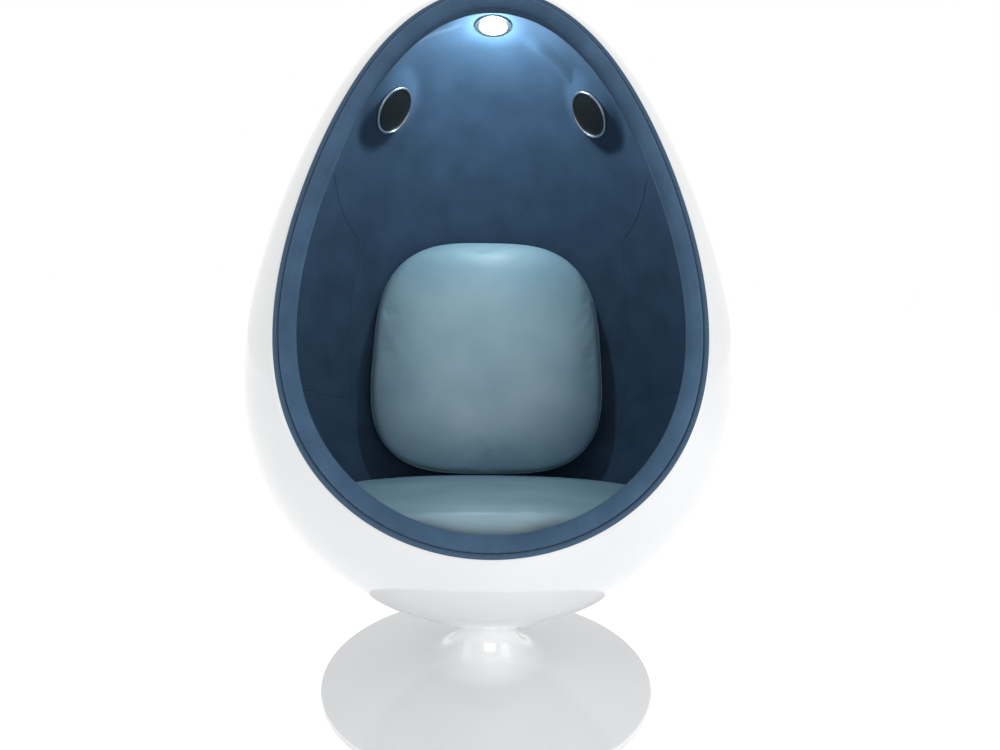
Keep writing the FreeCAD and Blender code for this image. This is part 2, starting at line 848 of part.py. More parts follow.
def make_clamp(flange_low, flange_high):
    """The shaped discs under and over the shell's floor, and the bolts that clamp it."""
    low = float(flange_high)
    gap = N["layer_gap"]
    holes = clamp_holes(0, 2 * N["egg_ground_gap"])
    spacer_high = N["egg_ground_gap"] + N["spacer_rise"]
    spacer = Part.makeCylinder(N["flange_radius"], spacer_high - low, Vector(0, 0, low))
    spacer = carve(spacer, [on_base(egg_solid(-gap))] + holes)
    formed("shell_spacer", spacer)

    block_high = N["egg_ground_gap"] + N["clamp_height"]
    block = Part.makeCylinder(N["clamp_radius"], block_high, Vector(0, 0, 0))
    block = block.common(on_base(egg_solid(N["shell_wall"] + gap)))
    formed("clamp_block", carve(block, holes))

    top = S["egg_ground_gap"] + S["clamp_height"]
    washer_top = top + S["clamp_washer_thickness"]
    screws("clamp_bolts", S["clamp_bolt_count"], S["clamp_ring"],
           (S["clamp_bolt_radius"], flange_low + 1, washer_top),
           (S["clamp_head_radius"], washer_top, washer_top + S["clamp_head_height"]))
    washers = new_body("clamp_washers")
    sketch = new_sketch(washers, "XY_Plane", "clamp_washer_sketch", top)
    draw_circle(sketch, S["clamp_ring"], 0, S["clamp_washer_radius"])
    draw_circle(sketch, S["clamp_ring"], 0, S["clamp_bolt_radius"] + S["thread_gap"])
    washer = pad(washers, "clamp_washer", sketch, S["clamp_washer_thickness"])
    doc.recompute()
    repeat(washers, [washer], sketch, S["clamp_bolt_count"], "clamp_washer_pattern")
    keep(washers)


# Shell, seat support and lining

LEAD_AZIMUTHS = {
    "lamp_lead": 180.0,
    "speaker_lead_left": -N["speaker_azimuth"],
    "speaker_lead_right": N["speaker_azimuth"],
}
INLET_PLACE = skin_place(N["inlet_azimuth"], N["inlet_height"], 0.0)
LEDGE_TOP = N["platform_height"] - N["platform_thickness"]


def lead_notches():
    """Cut-outs at the edge of the seat's ledge and platform that let the leads pass."""
    notches = []
    outer = radius_at(N["platform_height"], N["shell_wall"])
    low = LEDGE_TOP - N["ledge_height"]
    edge = radius_at(low, N["shell_wall"]) - N["notch_depth"]
    width = N["notch_width"]
    for azimuth in LEAD_AZIMUTHS.values():
        notch = Part.makeBox(width, outer - edge + width, N["platform_height"] - low + 2,
                             Vector(-width / 2, -outer - width, low - 1))
        notches.append(around_axis(notch, azimuth))
    return notches


def make_shell():
    """The glossy outer shell, open at the front."""
    shell = egg_solid(0).cut(egg_solid(N["shell_wall"]))
    reach = 2 * N["inlet_reach"]
    inlet_hole = Part.makeCylinder(N["inlet_radius"] + N["inlet_hole_gap"], 2 * reach, Vector(0, 0, -reach))
    inlet_hole.Placement = INLET_PLACE.multiply(inlet_hole.Placement)
    bolt_holes = [into_egg(hole) for hole in clamp_holes(0, 2 * N["egg_ground_gap"])]
    shell = carve(shell, [before_opening(0), inlet_hole] + bolt_holes)
    formed("outer_shell", shell, EGG_PLACE)


def make_seat_support():
    """The ledge bonded round the shell, and the round board that rests on it."""
    inside = egg_solid(N["shell_wall"] + N["layer_gap"])
    notches = lead_notches()
    ledge_low = LEDGE_TOP - N["ledge_height"]
    inner = radius_at(LEDGE_TOP, N["shell_wall"]) - N["ledge_width"]
    bore = Part.makeCylinder(inner, N["ledge_height"] + 2, Vector(0, 0, ledge_low - 1))
    ledge = carve(inside.common(slab(ledge_low, LEDGE_TOP)), [bore] + notches)
    platform = carve(inside.common(slab(LEDGE_TOP, N["platform_height"])), notches)

    screw_ring = radius_at(LEDGE_TOP, N["shell_wall"]) - N["platform_screw_inset"]
    holes = []
    for step in range(round(N["platform_screw_count"])):
        turn = 360 * (step + 0.5) / N["platform_screw_count"]
        holes.append(around_axis(countersunk_hole(screw_ring), turn))
    formed("seat_ledge", carve(ledge, holes), EGG_PLACE)
    formed("seat_platform", carve(platform, holes), EGG_PLACE)
    screw_shapes = []
    for step in range(round(N["platform_screw_count"])):
        turn = 360 * (step + 0.5) / N["platform_screw_count"]
        screw_shapes.append(around_axis(countersunk_screw(screw_ring), turn))
    formed("platform_screws", Part.makeCompound(screw_shapes), EGG_PLACE)


def countersunk_screw(ring_radius, extra=0.0):
    """A countersunk wood screw whose head is flush with the platform."""
    top = N["platform_height"]
    head = N["platform_screw_head"] + extra
    shank = N["platform_screw_radius"] + extra
    cone_height = head - shank
    centre = Vector(0, -ring_radius, 0)
    cone = Part.makeCone(shank, head, cone_height, centre + Vector(0, 0, top - cone_height))
    length = N["platform_screw_length"] + extra - cone_height
    rod = Part.makeCylinder(shank, length, centre + Vector(0, 0, top - cone_height - length))
    return cone.fuse(rod).removeSplitter()


def countersunk_hole(ring_radius):
    """The hole that such a screw sits in."""
    return countersunk_screw(ring_radius, N["thread_gap"])


SPEAKER_HOLE = N["boss_bore"] + N["speaker_hole_gap"]


def lining_cutters(clearance):
    """What opens the lining: the speakers, the lamp, the front and all below the platform."""
    cutters = [before_opening(0), below(N["platform_height"] + clearance)]
    for side in (-1, 1):
        place = skin_place(side * N["speaker_azimuth"], SPEAKER_HEIGHT, N["lining_depth"])
        hole = Part.makeCylinder(SPEAKER_HOLE, 4 * N["lining_depth"], Vector(0, 0, -2 * N["lining_depth"]))
        hole.Placement = place.multiply(hole.Placement)
        cutters.append(hole)
    lamp_low = N["egg_length"] - 3 * N["lining_depth"]
    lamp_hole = Part.makeCylinder(N["lamp_radius"] + N["lamp_hole_gap"], REACH, Vector(0, 0, lamp_low))
    cutters.append(lamp_hole)
    return cutters


def make_lining():
    """The foam behind the fabric, grooved for the leads, and the fabric itself."""
    gap = N["layer_gap"]
    foam_outer = N["shell_wall"] + gap
    foam_inner = N["lining_depth"] - N["cover_thickness"] - gap
    foam = egg_solid(foam_outer).cut(egg_solid(foam_inner))
    groove_floor = egg_solid(N["shell_wall"] + N["lead_slot_depth"])
    grooves = []
    for azimuth in LEAD_AZIMUTHS.values():
        high = N["egg_length"] if azimuth == 180.0 else SPEAKER_HEIGHT
        block = Part.makeBox(N["lead_slot_width"], N["egg_radius"], high,
                             Vector(-N["lead_slot_width"] / 2, -N["egg_radius"], 0))
        grooves.append(around_axis(block, azimuth).cut(groove_floor))
    foam = carve(foam, lining_cutters(gap) + grooves)
    formed("lining_foam", foam, EGG_PLACE)

    cover = egg_solid(N["lining_depth"] - N["cover_thickness"]).cut(egg_solid(N["lining_depth"]))
    formed("lining_cover", carve(cover, lining_cutters(gap)), EGG_PLACE)


# Rim trim


def egg_radius_here(height):
    """The radius of the egg's skin at a height, from the outline's formula."""
    along = 2 * height / N["egg_length"] - 1
    return EGG_SCALE * math.sqrt(max(0.0, 1 - along * along)) * swelling(along)


def opening_reach(angle, centre):
    """How far the opening's edge is from a point of its plane, in a direction of that plane."""
    across = math.cos(angle)
    up = math.sin(angle)

    def outside(distance):
        point = OPENING_PLACE.multVec(Vector(distance * across, 0, centre + distance * up))
        if not 0 < point.z < N["egg_length"]:
            return 1.0
        return math.hypot(point.x, point.y) - egg_radius_here(point.z)

    return halve(outside, 1.0, N["egg_length"])


RIM_POINTS = 36


def rim_path():
    """The edge where the shell's skin meets the opening, as one closed smooth curve."""
    centre = N["egg_length"] * 0.1
    points = []
    for step in range(RIM_POINTS):
        angle = 2 * math.pi * step / RIM_POINTS - math.pi / 2
        reach = opening_reach(angle, centre)
        point = Vector(reach * math.cos(angle), 0, centre + reach * math.sin(angle))
        points.append(OPENING_PLACE.multVec(point))
    curve = Part.BSplineCurve()
    curve.interpolate(Points=points, PeriodicFlag=True)
    return Part.Wire([curve.toShape()]), points[0]


def trim_strip(path, start, inset, width, rise):
    """A strip with a flat back and a rounded front, carried round the opening's edge."""
    inwards = OPENING_PLACE.Rotation.multVec(Vector(0, 0, 1))
    forwards = OPENING_PLACE.Rotation.multVec(Vector(0, -1, 0))
    gap = N["layer_gap"]
    outer = start + inwards * inset + forwards * gap
    inner = start + inwards * (inset + width) + forwards * gap
    crest = start + inwards * (inset + width / 2) + forwards * (gap + rise)
    section = Part.Wire([Part.Arc(outer, crest, inner).toShape(), Part.makeLine(inner, outer)])
    return path.makePipeShell([section], True, True)


def make_rim():
    """The narrow band over the shell's edge, and the padded roll beside it."""
    path, start = rim_path()
    gap = N["trim_gap"]
    band = trim_strip(path, start, gap, N["band_width"] - gap, N["band_rise"])
    formed("rim_band", band, EGG_PLACE)
    roll = trim_strip(path, start, N["band_width"] + gap, N["roll_width"], N["roll_rise"])
    formed("rim_roll", roll, EGG_PLACE)


# Cushions


def dome_height(radius):
    """The height of the seat's domed top at a radius from the egg's axis."""
    return N["seat_height"] - N["seat_dome"] + math.sqrt(N["seat_dome"] ** 2 - radius ** 2)


def under_dome(turn):
    """How far the shoulder's centre, on its own layer of the egg, is above its place."""
    radius, height = egg_point(turn, N["seat_gap"] + N["lining_depth"] + N["seat_shoulder"])
    drop = N["seat_height"] - N["seat_dome"]
    return math.hypot(radius, height - drop) - (N["seat_dome"] - N["seat_shoulder"])


BOWL_SPANS = 8


def seat_turns():
    """The turns of the outline at which the seat's bowl-shaped side starts and ends."""
    first = turn_at(N["platform_height"] + N["cushion_gap"], N["lining_depth"] + N["seat_gap"])
    return first, halve(under_dome, first, math.pi / 2)


def seat_section():
    """Half the section of the seat: flat below, bowl-shaped at the side, domed on top."""
    depth = N["lining_depth"] + N["seat_gap"]
    low = N["platform_height"] + N["cushion_gap"]
    shoulder = N["seat_shoulder"]
    first, last = seat_turns()
    bowl = []
    for span in range(BOWL_SPANS + 1):
        radius, height = egg_point(first + (last - first) * span / BOWL_SPANS, depth)
        bowl.append(Vector(radius, 0, height))
    side = Part.BSplineCurve()
    side.interpolate(bowl)
    radius, height = egg_point(last, depth + shoulder)
    centre = Vector(radius, 0, height)
    to_side = (bowl[-1] - centre).normalize()
    to_dome = (centre - Vector(0, 0, N["seat_height"] - N["seat_dome"])).normalize()
    on_dome = centre + to_dome * shoulder
    crest = centre + (to_side + to_dome).normalize() * shoulder
    apex = Vector(0, 0, N["seat_height"])
    halfway = on_dome.x / 2
    foot = Vector(0, 0, low)
    return Part.Wire([
        Part.makeLine(foot, bowl[0]), side.toShape(), Part.Arc(bowl[-1], crest, on_dome).toShape(),
        Part.Arc(on_dome, Vector(halfway, 0, dome_height(halfway)), apex).toShape(),
        Part.makeLine(apex, foot)])


def make_seat_cushion():
    """A round pad that fills the bowl, cut straight at the front, with a low dome on top."""
    pad_shape = Part.Face(seat_section()).revolve(Vector(0, 0, 0), Vector(0, 0, 1), 360)
    widest = egg_point(seat_turns()[1], N["lining_depth"] + N["seat_gap"])[0]
    forward = widest - N["seat_front_cut"]
    print(f"seat front: {forward:.3f} before the egg's axis, cut from a radius of {widest:.3f}")
    pad_shape = pad_shape.cut(Part.makeBox(2 * REACH, REACH, REACH, Vector(-REACH, -REACH - forward, 0)))
    edges = [edge for edge in pad_shape.Edges if edge.CenterOfMass.y < 0.01 - forward]
    pad_shape = pad_shape.makeFillet(N["seat_front_round"], edges)
    formed("seat_cushion", pad_shape, EGG_PLACE)


OUTLINE_SCAN = 1440
OUTLINE_COUNT = 36
CROWN_STEPS = 8


def rounded_outline(turn):
    """A point of the back cushion's outline: a square with bowed sides, narrower at the top."""
    power = 2 / N["back_squareness"]
    across = math.copysign(abs(math.cos(turn)) ** power, math.cos(turn))
    up = math.copysign(abs(math.sin(turn)) ** power, math.sin(turn))
    across *= 1 - N["back_taper"] * up
    return Vector(N["back_width"] / 2 * across, 0, N["back_length"] / 2 * up)


def evenly_spaced(points, spans):
    """Points that share a closed path out into spans of equal length."""
    travelled = [0.0]
    for near, far in zip(points, points[1:]):
        travelled.append(travelled[-1] + (far - near).Length)
    spaced = []
    leg = 0
    for span in range(spans):
        wanted = travelled[-1] * span / spans
        while travelled[leg + 1] < wanted:
            leg += 1
        part = (wanted - travelled[leg]) / (travelled[leg + 1] - travelled[leg])
        spaced.append(points[leg] + (points[leg + 1] - points[leg]) * part)
    return spaced + [spaced[0]]


def make_back_cushion():
    """A square cushion, crowned front and back, whose outline shrinks towards both crowns."""
    first = -math.pi / 2
    scan = [rounded_outline(first + 2 * math.pi * step / OUTLINE_SCAN)
            for step in range(OUTLINE_SCAN + 1)]
    outline = evenly_spaced(scan, OUTLINE_COUNT)
    rows = []
    for step in range(-CROWN_STEPS, CROWN_STEPS + 1):
        turn = math.radians(N["back_crown_turn"]) * step / CROWN_STEPS
        scale = math.cos(turn) ** (2 / N["back_edge_power"])
        lift = math.copysign(abs(math.sin(turn)) ** (2 / N["back_crown_power"]), turn)
        offset = Vector(0, N["back_thickness"] / 2 * lift, 0)
        rows.append([point * scale + offset for point in outline])
    skin = Part.BSplineSurface()
    skin.interpolate(rows)
    side = skin.toShape()
    crowns = [Part.Face(Part.Wire([edge])) for edge in side.Edges if edge.isClosed()]
    shell = Part.makeShell([side] + crowns)
    shell.sewShape()
    formed("back_cushion", Part.makeSolid(shell), EGG_PLACE.multiply(back_cushion_place()))


def back_cushion_place():
    """Where the back cushion stands on the seat cushion, in the egg's frame."""
    forward = N["back_forward"]
    foot = dome_height(forward) + N["cushion_gap"] + N["back_length"] / 2
    return Placement(Vector(0, forward, foot), Rotation(Vector(1, 0, 0), -N["back_lean"]))


# Speakers


def make_speaker(side, side_name):
    """One speaker on its fabric-covered boss, all turned about the speaker's own axis."""
    local = skin_place(side * N["speaker_azimuth"], SPEAKER_HEIGHT, N["lining_depth"])
    place = EGG_PLACE.multiply(local)
    seat = S["boss_height"]
    boss = Part.makeCone(N["boss_low_radius"] + N["boss_height"], N["boss_high_radius"],
                         2 * N["boss_height"], Vector(0, 0, -N["boss_height"]))
    bore = Part.makeCylinder(N["boss_bore"], 4 * N["boss_height"], Vector(0, 0, -2 * N["boss_height"]))
    inside = egg_solid(N["lining_depth"] + N["layer_gap"])
    inside.Placement = local.inverse().multiply(inside.Placement)
    formed(f"speaker_boss_{side_name}", boss.cut(bore).common(inside), place)

    wall = S["basket_wall"]
    back = seat - S["basket_depth"]
    top = seat + wall
    turned(f"speaker_basket_{side_name}", [
        (S["basket_hole"], back), (S["basket_back"], back),
        (S["boss_bore"] - S["trim_gap"], seat), (S["basket_flange"], seat),
        (S["basket_flange"], top), (S["boss_bore"] - S["trim_gap"] - wall, top),
        (S["basket_back"] - wall, back + wall), (S["basket_hole"], back + wall)], place)
    pole = S["pole_radius"]
    gap_outer = pole + S["coil_gap"]
    magnet_low = back - S["magnet_depth"]
    gap_floor = magnet_low + S["coil_gap"]
    turned(f"speaker_magnet_{side_name}", [
        (0, magnet_low), (S["magnet_radius"], magnet_low), (S["magnet_radius"], back),
        (gap_outer, back), (gap_outer, gap_floor), (pole, gap_floor), (pole, back + wall),
        (0, back + wall)], place)
    make_cone(side_name, place, top, back)
    surround_inner = S["cone_radius"] + S["cone_gap"]
    surround_outer = surround_inner + S["surround_width"]
    ring(f"speaker_surround_{side_name}", surround_inner, surround_outer, top,
         top + S["surround_thickness"], place)
    grille_radius = S["bezel_radius"] - S["bezel_width"]
    ledge_radius = grille_radius - S["bezel_ledge"]
    bezel_top = top + S["bezel_height"]
    ledge_top = bezel_top - S["bezel_width"] * 0.5 - S["grille_thickness"]
    turned(f"speaker_bezel_{side_name}", [
        (ledge_radius, top + S["surround_thickness"]), (S["bezel_radius"], top),
        (S["bezel_radius"], bezel_top - S["bezel_width"] * 0.4),
        (S["bezel_radius"] - S["bezel_width"] * 0.4, bezel_top), (grille_radius, bezel_top),
        (grille_radius, ledge_top), (ledge_radius, ledge_top)], place)
    ring(f"speaker_grille_{side_name}", 0, grille_radius - S["press_gap"], ledge_top,
         ledge_top + S["grille_thickness"], place)


def make_cone(side_name, place, top, back):
    """The cone with its dust cap and coil former, which move together along the axis."""
    pole_gap = (S["coil_gap"] - S["coil_wall"]) * 0.5
    former_inner = S["pole_radius"] + pole_gap
    former_outer = former_inner + S["coil_wall"]
    wall = S["coil_wall"]
    neck = back + S["magnet_depth"]
    edge = top - S["surround_thickness"] * 0.5
    turned(f"speaker_cone_{side_name}", [
        (former_inner, back - S["coil_gap"] * 2), (former_outer, back - S["coil_gap"] * 2),
        (former_outer, neck), (S["cone_radius"], edge), (S["cone_radius"], edge + wall),
        (S["cone_radius"] - wall, edge + wall), (former_outer, neck + wall * 1.5),
        (former_inner * 0.6, neck + wall * 4), (0, neck + wall * 5), (0, neck + wall * 4),
        (former_inner * 0.55, neck + wall * 3), (former_inner, neck + wall * 0.5)], place)


# Lamp


def make_lamp():
    """The lamp at the top of the cavity: housing, board, chips, lens and bezel."""
    roof = S["egg_length"] - S["shell_wall"] - S["lamp_roof_gap"]
    ceiling = S["egg_length"] - S["lining_depth"]
    inner = S["lamp_radius"] - S["lamp_wall"]
    sagging = N["egg_length"] - N["lining_depth"] - height_of_ceiling(N["lamp_bezel_radius"])
    flange_high = ceiling - sagging - S["layer_gap"]
    flange_low = flange_high - S["lamp_bezel_thickness"]
    board_high = roof - S["lamp_roof"]
    board_low = board_high - S["led_board_thickness"]
    turned("lamp_housing", [
        (0, board_high), (inner, board_high), (inner, flange_high),
        (S["lamp_radius"], flange_high), (S["lamp_radius"], roof), (0, roof)], EGG_PLACE)
    turned("lamp_bezel", [
        (inner, flange_low), (S["lamp_bezel_radius"] - S["lamp_bezel_bevel"], flange_low),
        (S["lamp_bezel_radius"], flange_low + S["lamp_bezel_bevel"]), (S["lamp_bezel_radius"], flange_high),
        (inner, flange_high)], EGG_PLACE)
    ring("lamp_lens", 0, inner - S["press_gap"], flange_low + S["lamp_lens_step"],
         flange_low + S["lamp_lens_thickness"], EGG_PLACE)
    ring("led_board", 0, S["led_board_radius"], board_low, board_high, EGG_PLACE)
    chips = new_body("led_chips", EGG_PLACE)
    sketch = new_sketch(chips, "XY_Plane", "led_sketch", board_low - S["led_thickness"])
    half = S["led_side"] * 0.5
    near = S["led_ring"] - half
    far = S["led_ring"] + half
    draw_outline(sketch, [(near, half * -1), (far, half * -1), (far, half), (near, half)])
    chip = pad(chips, "led_chip", sketch, S["led_thickness"])
    doc.recompute()
    repeat(chips, [chip], sketch, S["led_count"], "led_pattern")
    keep(chips)


def height_of_ceiling(radius):
    """The height of the lining's surface near its top, at a radius from the egg's axis."""
    turn = halve(lambda angle: radius - egg_point(angle, N["lining_depth"])[0], 0.75 * math.pi, math.pi)
    return egg_point(turn, N["lining_depth"])[1]


# Amplifier, inlet and leads


def amp_block():
    """The amplifier case's outside, as one solid, and its low corner."""
    low_corner = Vector(-N["amp_width"] / 2, N["amp_back"] - N["amp_depth"], LEDGE_TOP - N["amp_height"])
    block = Part.makeBox(N["amp_width"], N["amp_depth"], N["amp_height"], low_corner)
    uprights = [edge for edge in block.Edges if edge.BoundBox.ZLength > N["amp_height"] - 1]
    return block.makeFillet(N["amp_round"], uprights), low_corner


def make_amplifier():
    """The amplifier's case under the platform, with its board and its four screws."""
    high = LEDGE_TOP
    width = N["amp_width"]
    depth = N["amp_depth"]
    case, low_corner = amp_block()
    wall = N["amp_wall"]
    corner = Vector(wall, wall, wall)
    case = case.cut(Part.makeBox(width - 2 * wall, depth - 2 * wall, N["amp_height"], low_corner + corner))
    inset = N["amp_screw_inset"]
    screw_shapes = []
    holes = []
    posts = []
    clear = []
    for side in (-1, 1):
        for back in (inset, depth - inset):
            centre = Vector(side * (width / 2 - inset), N["amp_back"] - depth + back, 0)
            low = high - N["amp_height"]
            foot = centre + Vector(0, 0, low)
            posts.append(Part.makeCylinder(N["amp_post"], N["amp_height"], foot))
            clear.append(Part.makeCylinder(N["amp_post"] + N["amp_wall"] + N["amp_board_gap"], N["amp_height"], foot))
            screw_shapes.append(amp_screw(centre, high, 0.0))
            holes.append(amp_screw(centre, high, N["thread_gap"]))
    case = case.fuse(posts).removeSplitter()
    make_amp_board(low_corner, clear)
    formed("amp_case", carve(case, holes), EGG_PLACE)
    formed("amp_screws", Part.makeCompound(screw_shapes), EGG_PLACE)
    for piece in parts:
        if piece.Label == "seat_platform":
            platform = piece
    shape = platform.Shape.copy()
    shape.Placement = Placement()
    platform.Shape = carve(shape, holes)
    platform.Placement = EGG_PLACE


def make_amp_board(low_corner, clear):
    """The amplifier's board with its two supports, its transformer, capacitors and heat sink."""
    gap = N["amp_board_gap"]
    wall = N["amp_wall"]
    width = N["amp_width"] - 2 * (wall + gap)
    depth = N["amp_depth"] - 2 * (wall + gap)
    floor = low_corner + Vector(wall + gap, wall + gap, wall)
    level = floor + Vector(0, 0, N["amp_board_lift"])
    board = Part.makeBox(width, depth, N["amp_board_thickness"], level)
    top = level + Vector(0, 0, N["amp_board_thickness"])
    edge = N["board_part_edge"]
    front = N["board_part_front"]
    pitch = N["capacitor_pitch"]
    sink = top + Vector(width - edge - N["heat_sink_width"], (depth - N["heat_sink_depth"]) / 2, 0)
    pieces = [
        Part.makeBox(N["transformer_width"], N["transformer_depth"], N["transformer_height"],
                     top + Vector(edge, front, 0)),
        Part.makeBox(N["heat_sink_width"], N["heat_sink_depth"], N["heat_sink_height"], sink),
        Part.makeBox(N["chip_side"], N["chip_side"], N["chip_height"],
                     top + Vector(width / 2, front + 2 * pitch, 0)),
    ]
    for step in (0.5, 1.5):
        centre = top + Vector(width / 2, front + pitch * step, 0)
        pieces.append(Part.makeCylinder(N["capacitor_radius"], N["capacitor_height"], centre))
    lift = N["amp_board_lift"] - N["layer_gap"]
    for across in (width * 0.35, width * 0.65):
        foot = floor + Vector(across, depth / 2, N["layer_gap"])
        pieces.append(Part.makeCylinder(N["amp_post"] / 2, lift, foot))
    board = board.fuse(pieces).removeSplitter()
    formed("amp_board", carve(board, clear), EGG_PLACE)


def amp_screw(centre, high, extra):
    """A long screw that goes up through the case into the platform."""
    radius = N["amp_screw_radius"] + extra
    low = high - N["amp_height"]
    rod = Part.makeCylinder(radius, N["amp_height"] + N["amp_screw_reach"] + extra, centre + Vector(0, 0, low))
    head = Part.makeCylinder(2 * radius, radius, centre + Vector(0, 0, low - extra))
    return rod.fuse(head).removeSplitter()


def make_inlet():
    """The power inlet at the back of the shell: a flanged barrel and its nut."""
    outside = Vector(0, 0, -N["inlet_flange_thickness"])
    flange = Part.makeCylinder(N["inlet_flange"], 3 * N["inlet_flange_thickness"], outside)
    skin = egg_solid(-N["layer_gap"])
    skin.Placement = INLET_PLACE.inverse().multiply(skin.Placement)
    flange = flange.cut(skin)
    barrel = Part.makeCylinder(N["inlet_radius"], N["inlet_reach"] + N["inlet_flange_thickness"], outside)
    socket_radius = N["inlet_radius"] - N["inlet_socket_wall"]
    socket = Part.makeCylinder(socket_radius, N["inlet_socket_depth"], outside)
    pin = Part.makeCylinder(N["inlet_pin_radius"], N["inlet_socket_depth"], outside)
    inlet = flange.fuse(barrel).removeSplitter().cut(socket.cut(pin))
    place = EGG_PLACE.multiply(INLET_PLACE)
    formed("power_inlet", inlet, place)
    nut = new_body("inlet_nut", place)
    sketch = new_sketch(nut, "XY_Plane", "inlet_nut_sketch", S["shell_wall"] + S["inlet_nut_gap"])
    draw_hexagon(sketch, 0, 0, S["inlet_nut_radius"])
    draw_circle(sketch, 0, 0, S["inlet_radius"] + S["thread_gap"])
    pad(nut, "inlet_nut_pad", sketch, S["inlet_nut_thickness"])
    keep(nut)


def make_leads():
    """The leads from the amplifier to the lamp, the speakers and the inlet."""
    amp_middle = LEDGE_TOP - N["amp_height"] / 2
    case = amp_block()[0]
    bend = N["platform_height"] - N["platform_thickness"] / 2
    for name, azimuth in LEAD_AZIMUTHS.items():
        if name == "lamp_lead":
            housing_side = (N["lamp_radius"] + N["layer_gap"], N["egg_length"] - LEAD_DEPTH - 2.3)
            top = [housing_side, (N["lamp_radius"] + 20, housing_side[1] - 3.3)]
            wall = along_wall(N["egg_length"] - 20, bend)
            reach = N["amp_back"] - N["amp_entry"]
        else:
            top = speaker_terminal()
            wall = along_wall(SPEAKER_HEIGHT - N["terminal_drop"], bend)
            reach = (N["amp_width"] / 2 - N["amp_entry"]) / abs(math.sin(math.radians(azimuth)))
        radius = wall[-1][0]
        tail = [(radius - 10, amp_middle + 18), (radius - 45, amp_middle), (reach, amp_middle)]
        tube = lead_shape(name, azimuth, top + wall + tail)
        formed(name, tube.cut(case), EGG_PLACE)
    outline = []
    for beyond in (N["layer_gap"], N["inlet_straight"]):
        point = INLET_PLACE.multVec(Vector(0, 0, N["inlet_reach"] + beyond))
        outline.append((math.hypot(point.x, point.y), point.z))
    reach = (N["amp_back"] - N["amp_entry"]) / -math.cos(math.radians(N["inlet_azimuth"]))
    inlet_middle = amp_middle - N["amp_lead_drop"]
    outline += [(outline[-1][0] - N["inlet_straight"], inlet_middle), (reach, inlet_middle)]
    tube = lead_shape("inlet_lead", N["inlet_azimuth"], outline)
    formed("inlet_lead", tube.cut(case), EGG_PLACE)


def speaker_terminal():
    """The two points where a speaker's lead leaves the basket, below the magnet."""
    turn = turn_at(SPEAKER_HEIGHT, N["lining_depth"])
    radius, height = egg_point(turn, N["lining_depth"])
    radial, axial = egg_normal(turn)
    points = []
    for beside, inwards in ((27.0, -3.0), (39.0, -14.5)):
        points.append((radius + axial * beside - radial * inwards,
                       height - radial * beside - axial * inwards))
    return points


def main():
    """Build the chair, check it and write one STEP file for each sub-part."""
    make_base()
    make_shell()
    make_seat_support()
    make_lining()
    make_rim()
    make_seat_cushion()
    make_back_cushion()
    for side, side_name in ((-1, "left"), (1, "right")):
        make_speaker(side, side_name)
    make_lamp()
    make_amplifier()
    make_inlet()
    make_leads()
    doc.recompute()
    for item in doc.Objects:
        if "Invalid" in item.State or "Error" in item.State:
            raise RuntimeError(f"{item.Label} did not compute")
    for piece in parts:
        if piece.Shape.isNull() or not piece.Shape.isValid():
            raise RuntimeError(f"{piece.Label} has no valid shape")
    os.makedirs("parts", exist_ok=True)
    for piece in parts:
        piece.Shape.exportStep(f"parts/{piece.Label}.step")
        print(f"{piece.Label}: {len(piece.Shape.Solids)} solids, {piece.Shape.Volume / 1000:.1f} cm3")


main()
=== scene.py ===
"""Looks of the pod chair: a glossy egg shell, its navy lining, leatherette cushions, speakers and lamp."""

import json
import logging
import math
from dataclasses import dataclass, field
from enum import Enum
from typing import Sequence

import bmesh
import bpy
import numpy as np
from mathutils import Euler, Matrix, Vector

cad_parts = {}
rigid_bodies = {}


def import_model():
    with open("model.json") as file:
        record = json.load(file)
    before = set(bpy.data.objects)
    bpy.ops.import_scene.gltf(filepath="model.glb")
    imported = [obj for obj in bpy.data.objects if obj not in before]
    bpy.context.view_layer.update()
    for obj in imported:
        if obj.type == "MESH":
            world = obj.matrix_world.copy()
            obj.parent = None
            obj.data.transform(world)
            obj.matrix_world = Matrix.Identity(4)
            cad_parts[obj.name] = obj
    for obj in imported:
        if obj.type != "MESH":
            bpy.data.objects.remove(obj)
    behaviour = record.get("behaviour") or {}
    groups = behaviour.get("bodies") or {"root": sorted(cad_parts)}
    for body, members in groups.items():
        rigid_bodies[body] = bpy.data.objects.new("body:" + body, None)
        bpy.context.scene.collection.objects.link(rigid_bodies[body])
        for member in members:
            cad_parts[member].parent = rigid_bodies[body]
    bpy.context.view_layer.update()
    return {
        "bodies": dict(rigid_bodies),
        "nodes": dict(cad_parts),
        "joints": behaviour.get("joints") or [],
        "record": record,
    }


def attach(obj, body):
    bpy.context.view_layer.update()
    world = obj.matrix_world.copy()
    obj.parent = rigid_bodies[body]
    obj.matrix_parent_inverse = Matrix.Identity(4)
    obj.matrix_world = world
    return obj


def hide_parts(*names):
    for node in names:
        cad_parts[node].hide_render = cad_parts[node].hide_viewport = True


LOG = logging.getLogger("pod_chair")
MM = 0.001
LINING_DEPTH = 0.024
LONGEST_RAY = 1.3
HALVINGS = 40

Array = np.ndarray
Piece = bpy.types.Object
Socket = bpy.types.NodeSocket
Material = bpy.types.Material
Finishes = dict[str, Material]


# ---- Arrays of points ----


def unit(vectors: Array) -> Array:
    """Scales vectors to a length of one."""
    return vectors / np.linalg.norm(vectors, axis=-1, keepdims=True)


def full_turn(count: int) -> Array:
    """Shares a full turn out into equal angles, from zero."""
    return np.linspace(0, 2 * math.pi, count, endpoint=False)


def loop_ways(loop: Array) -> Array:
    """Gives the unit direction along a closed loop at each of its points."""
    return unit(np.roll(loop, -1, axis=0) - np.roll(loop, 1, axis=0))


def superellipse(value: Array, power: float) -> Array:
    """Bends a cosine or sine into a superellipse's coordinate: its size to 2 / power, its sign kept."""
    return np.sign(value) * np.abs(value) ** (2 / power)


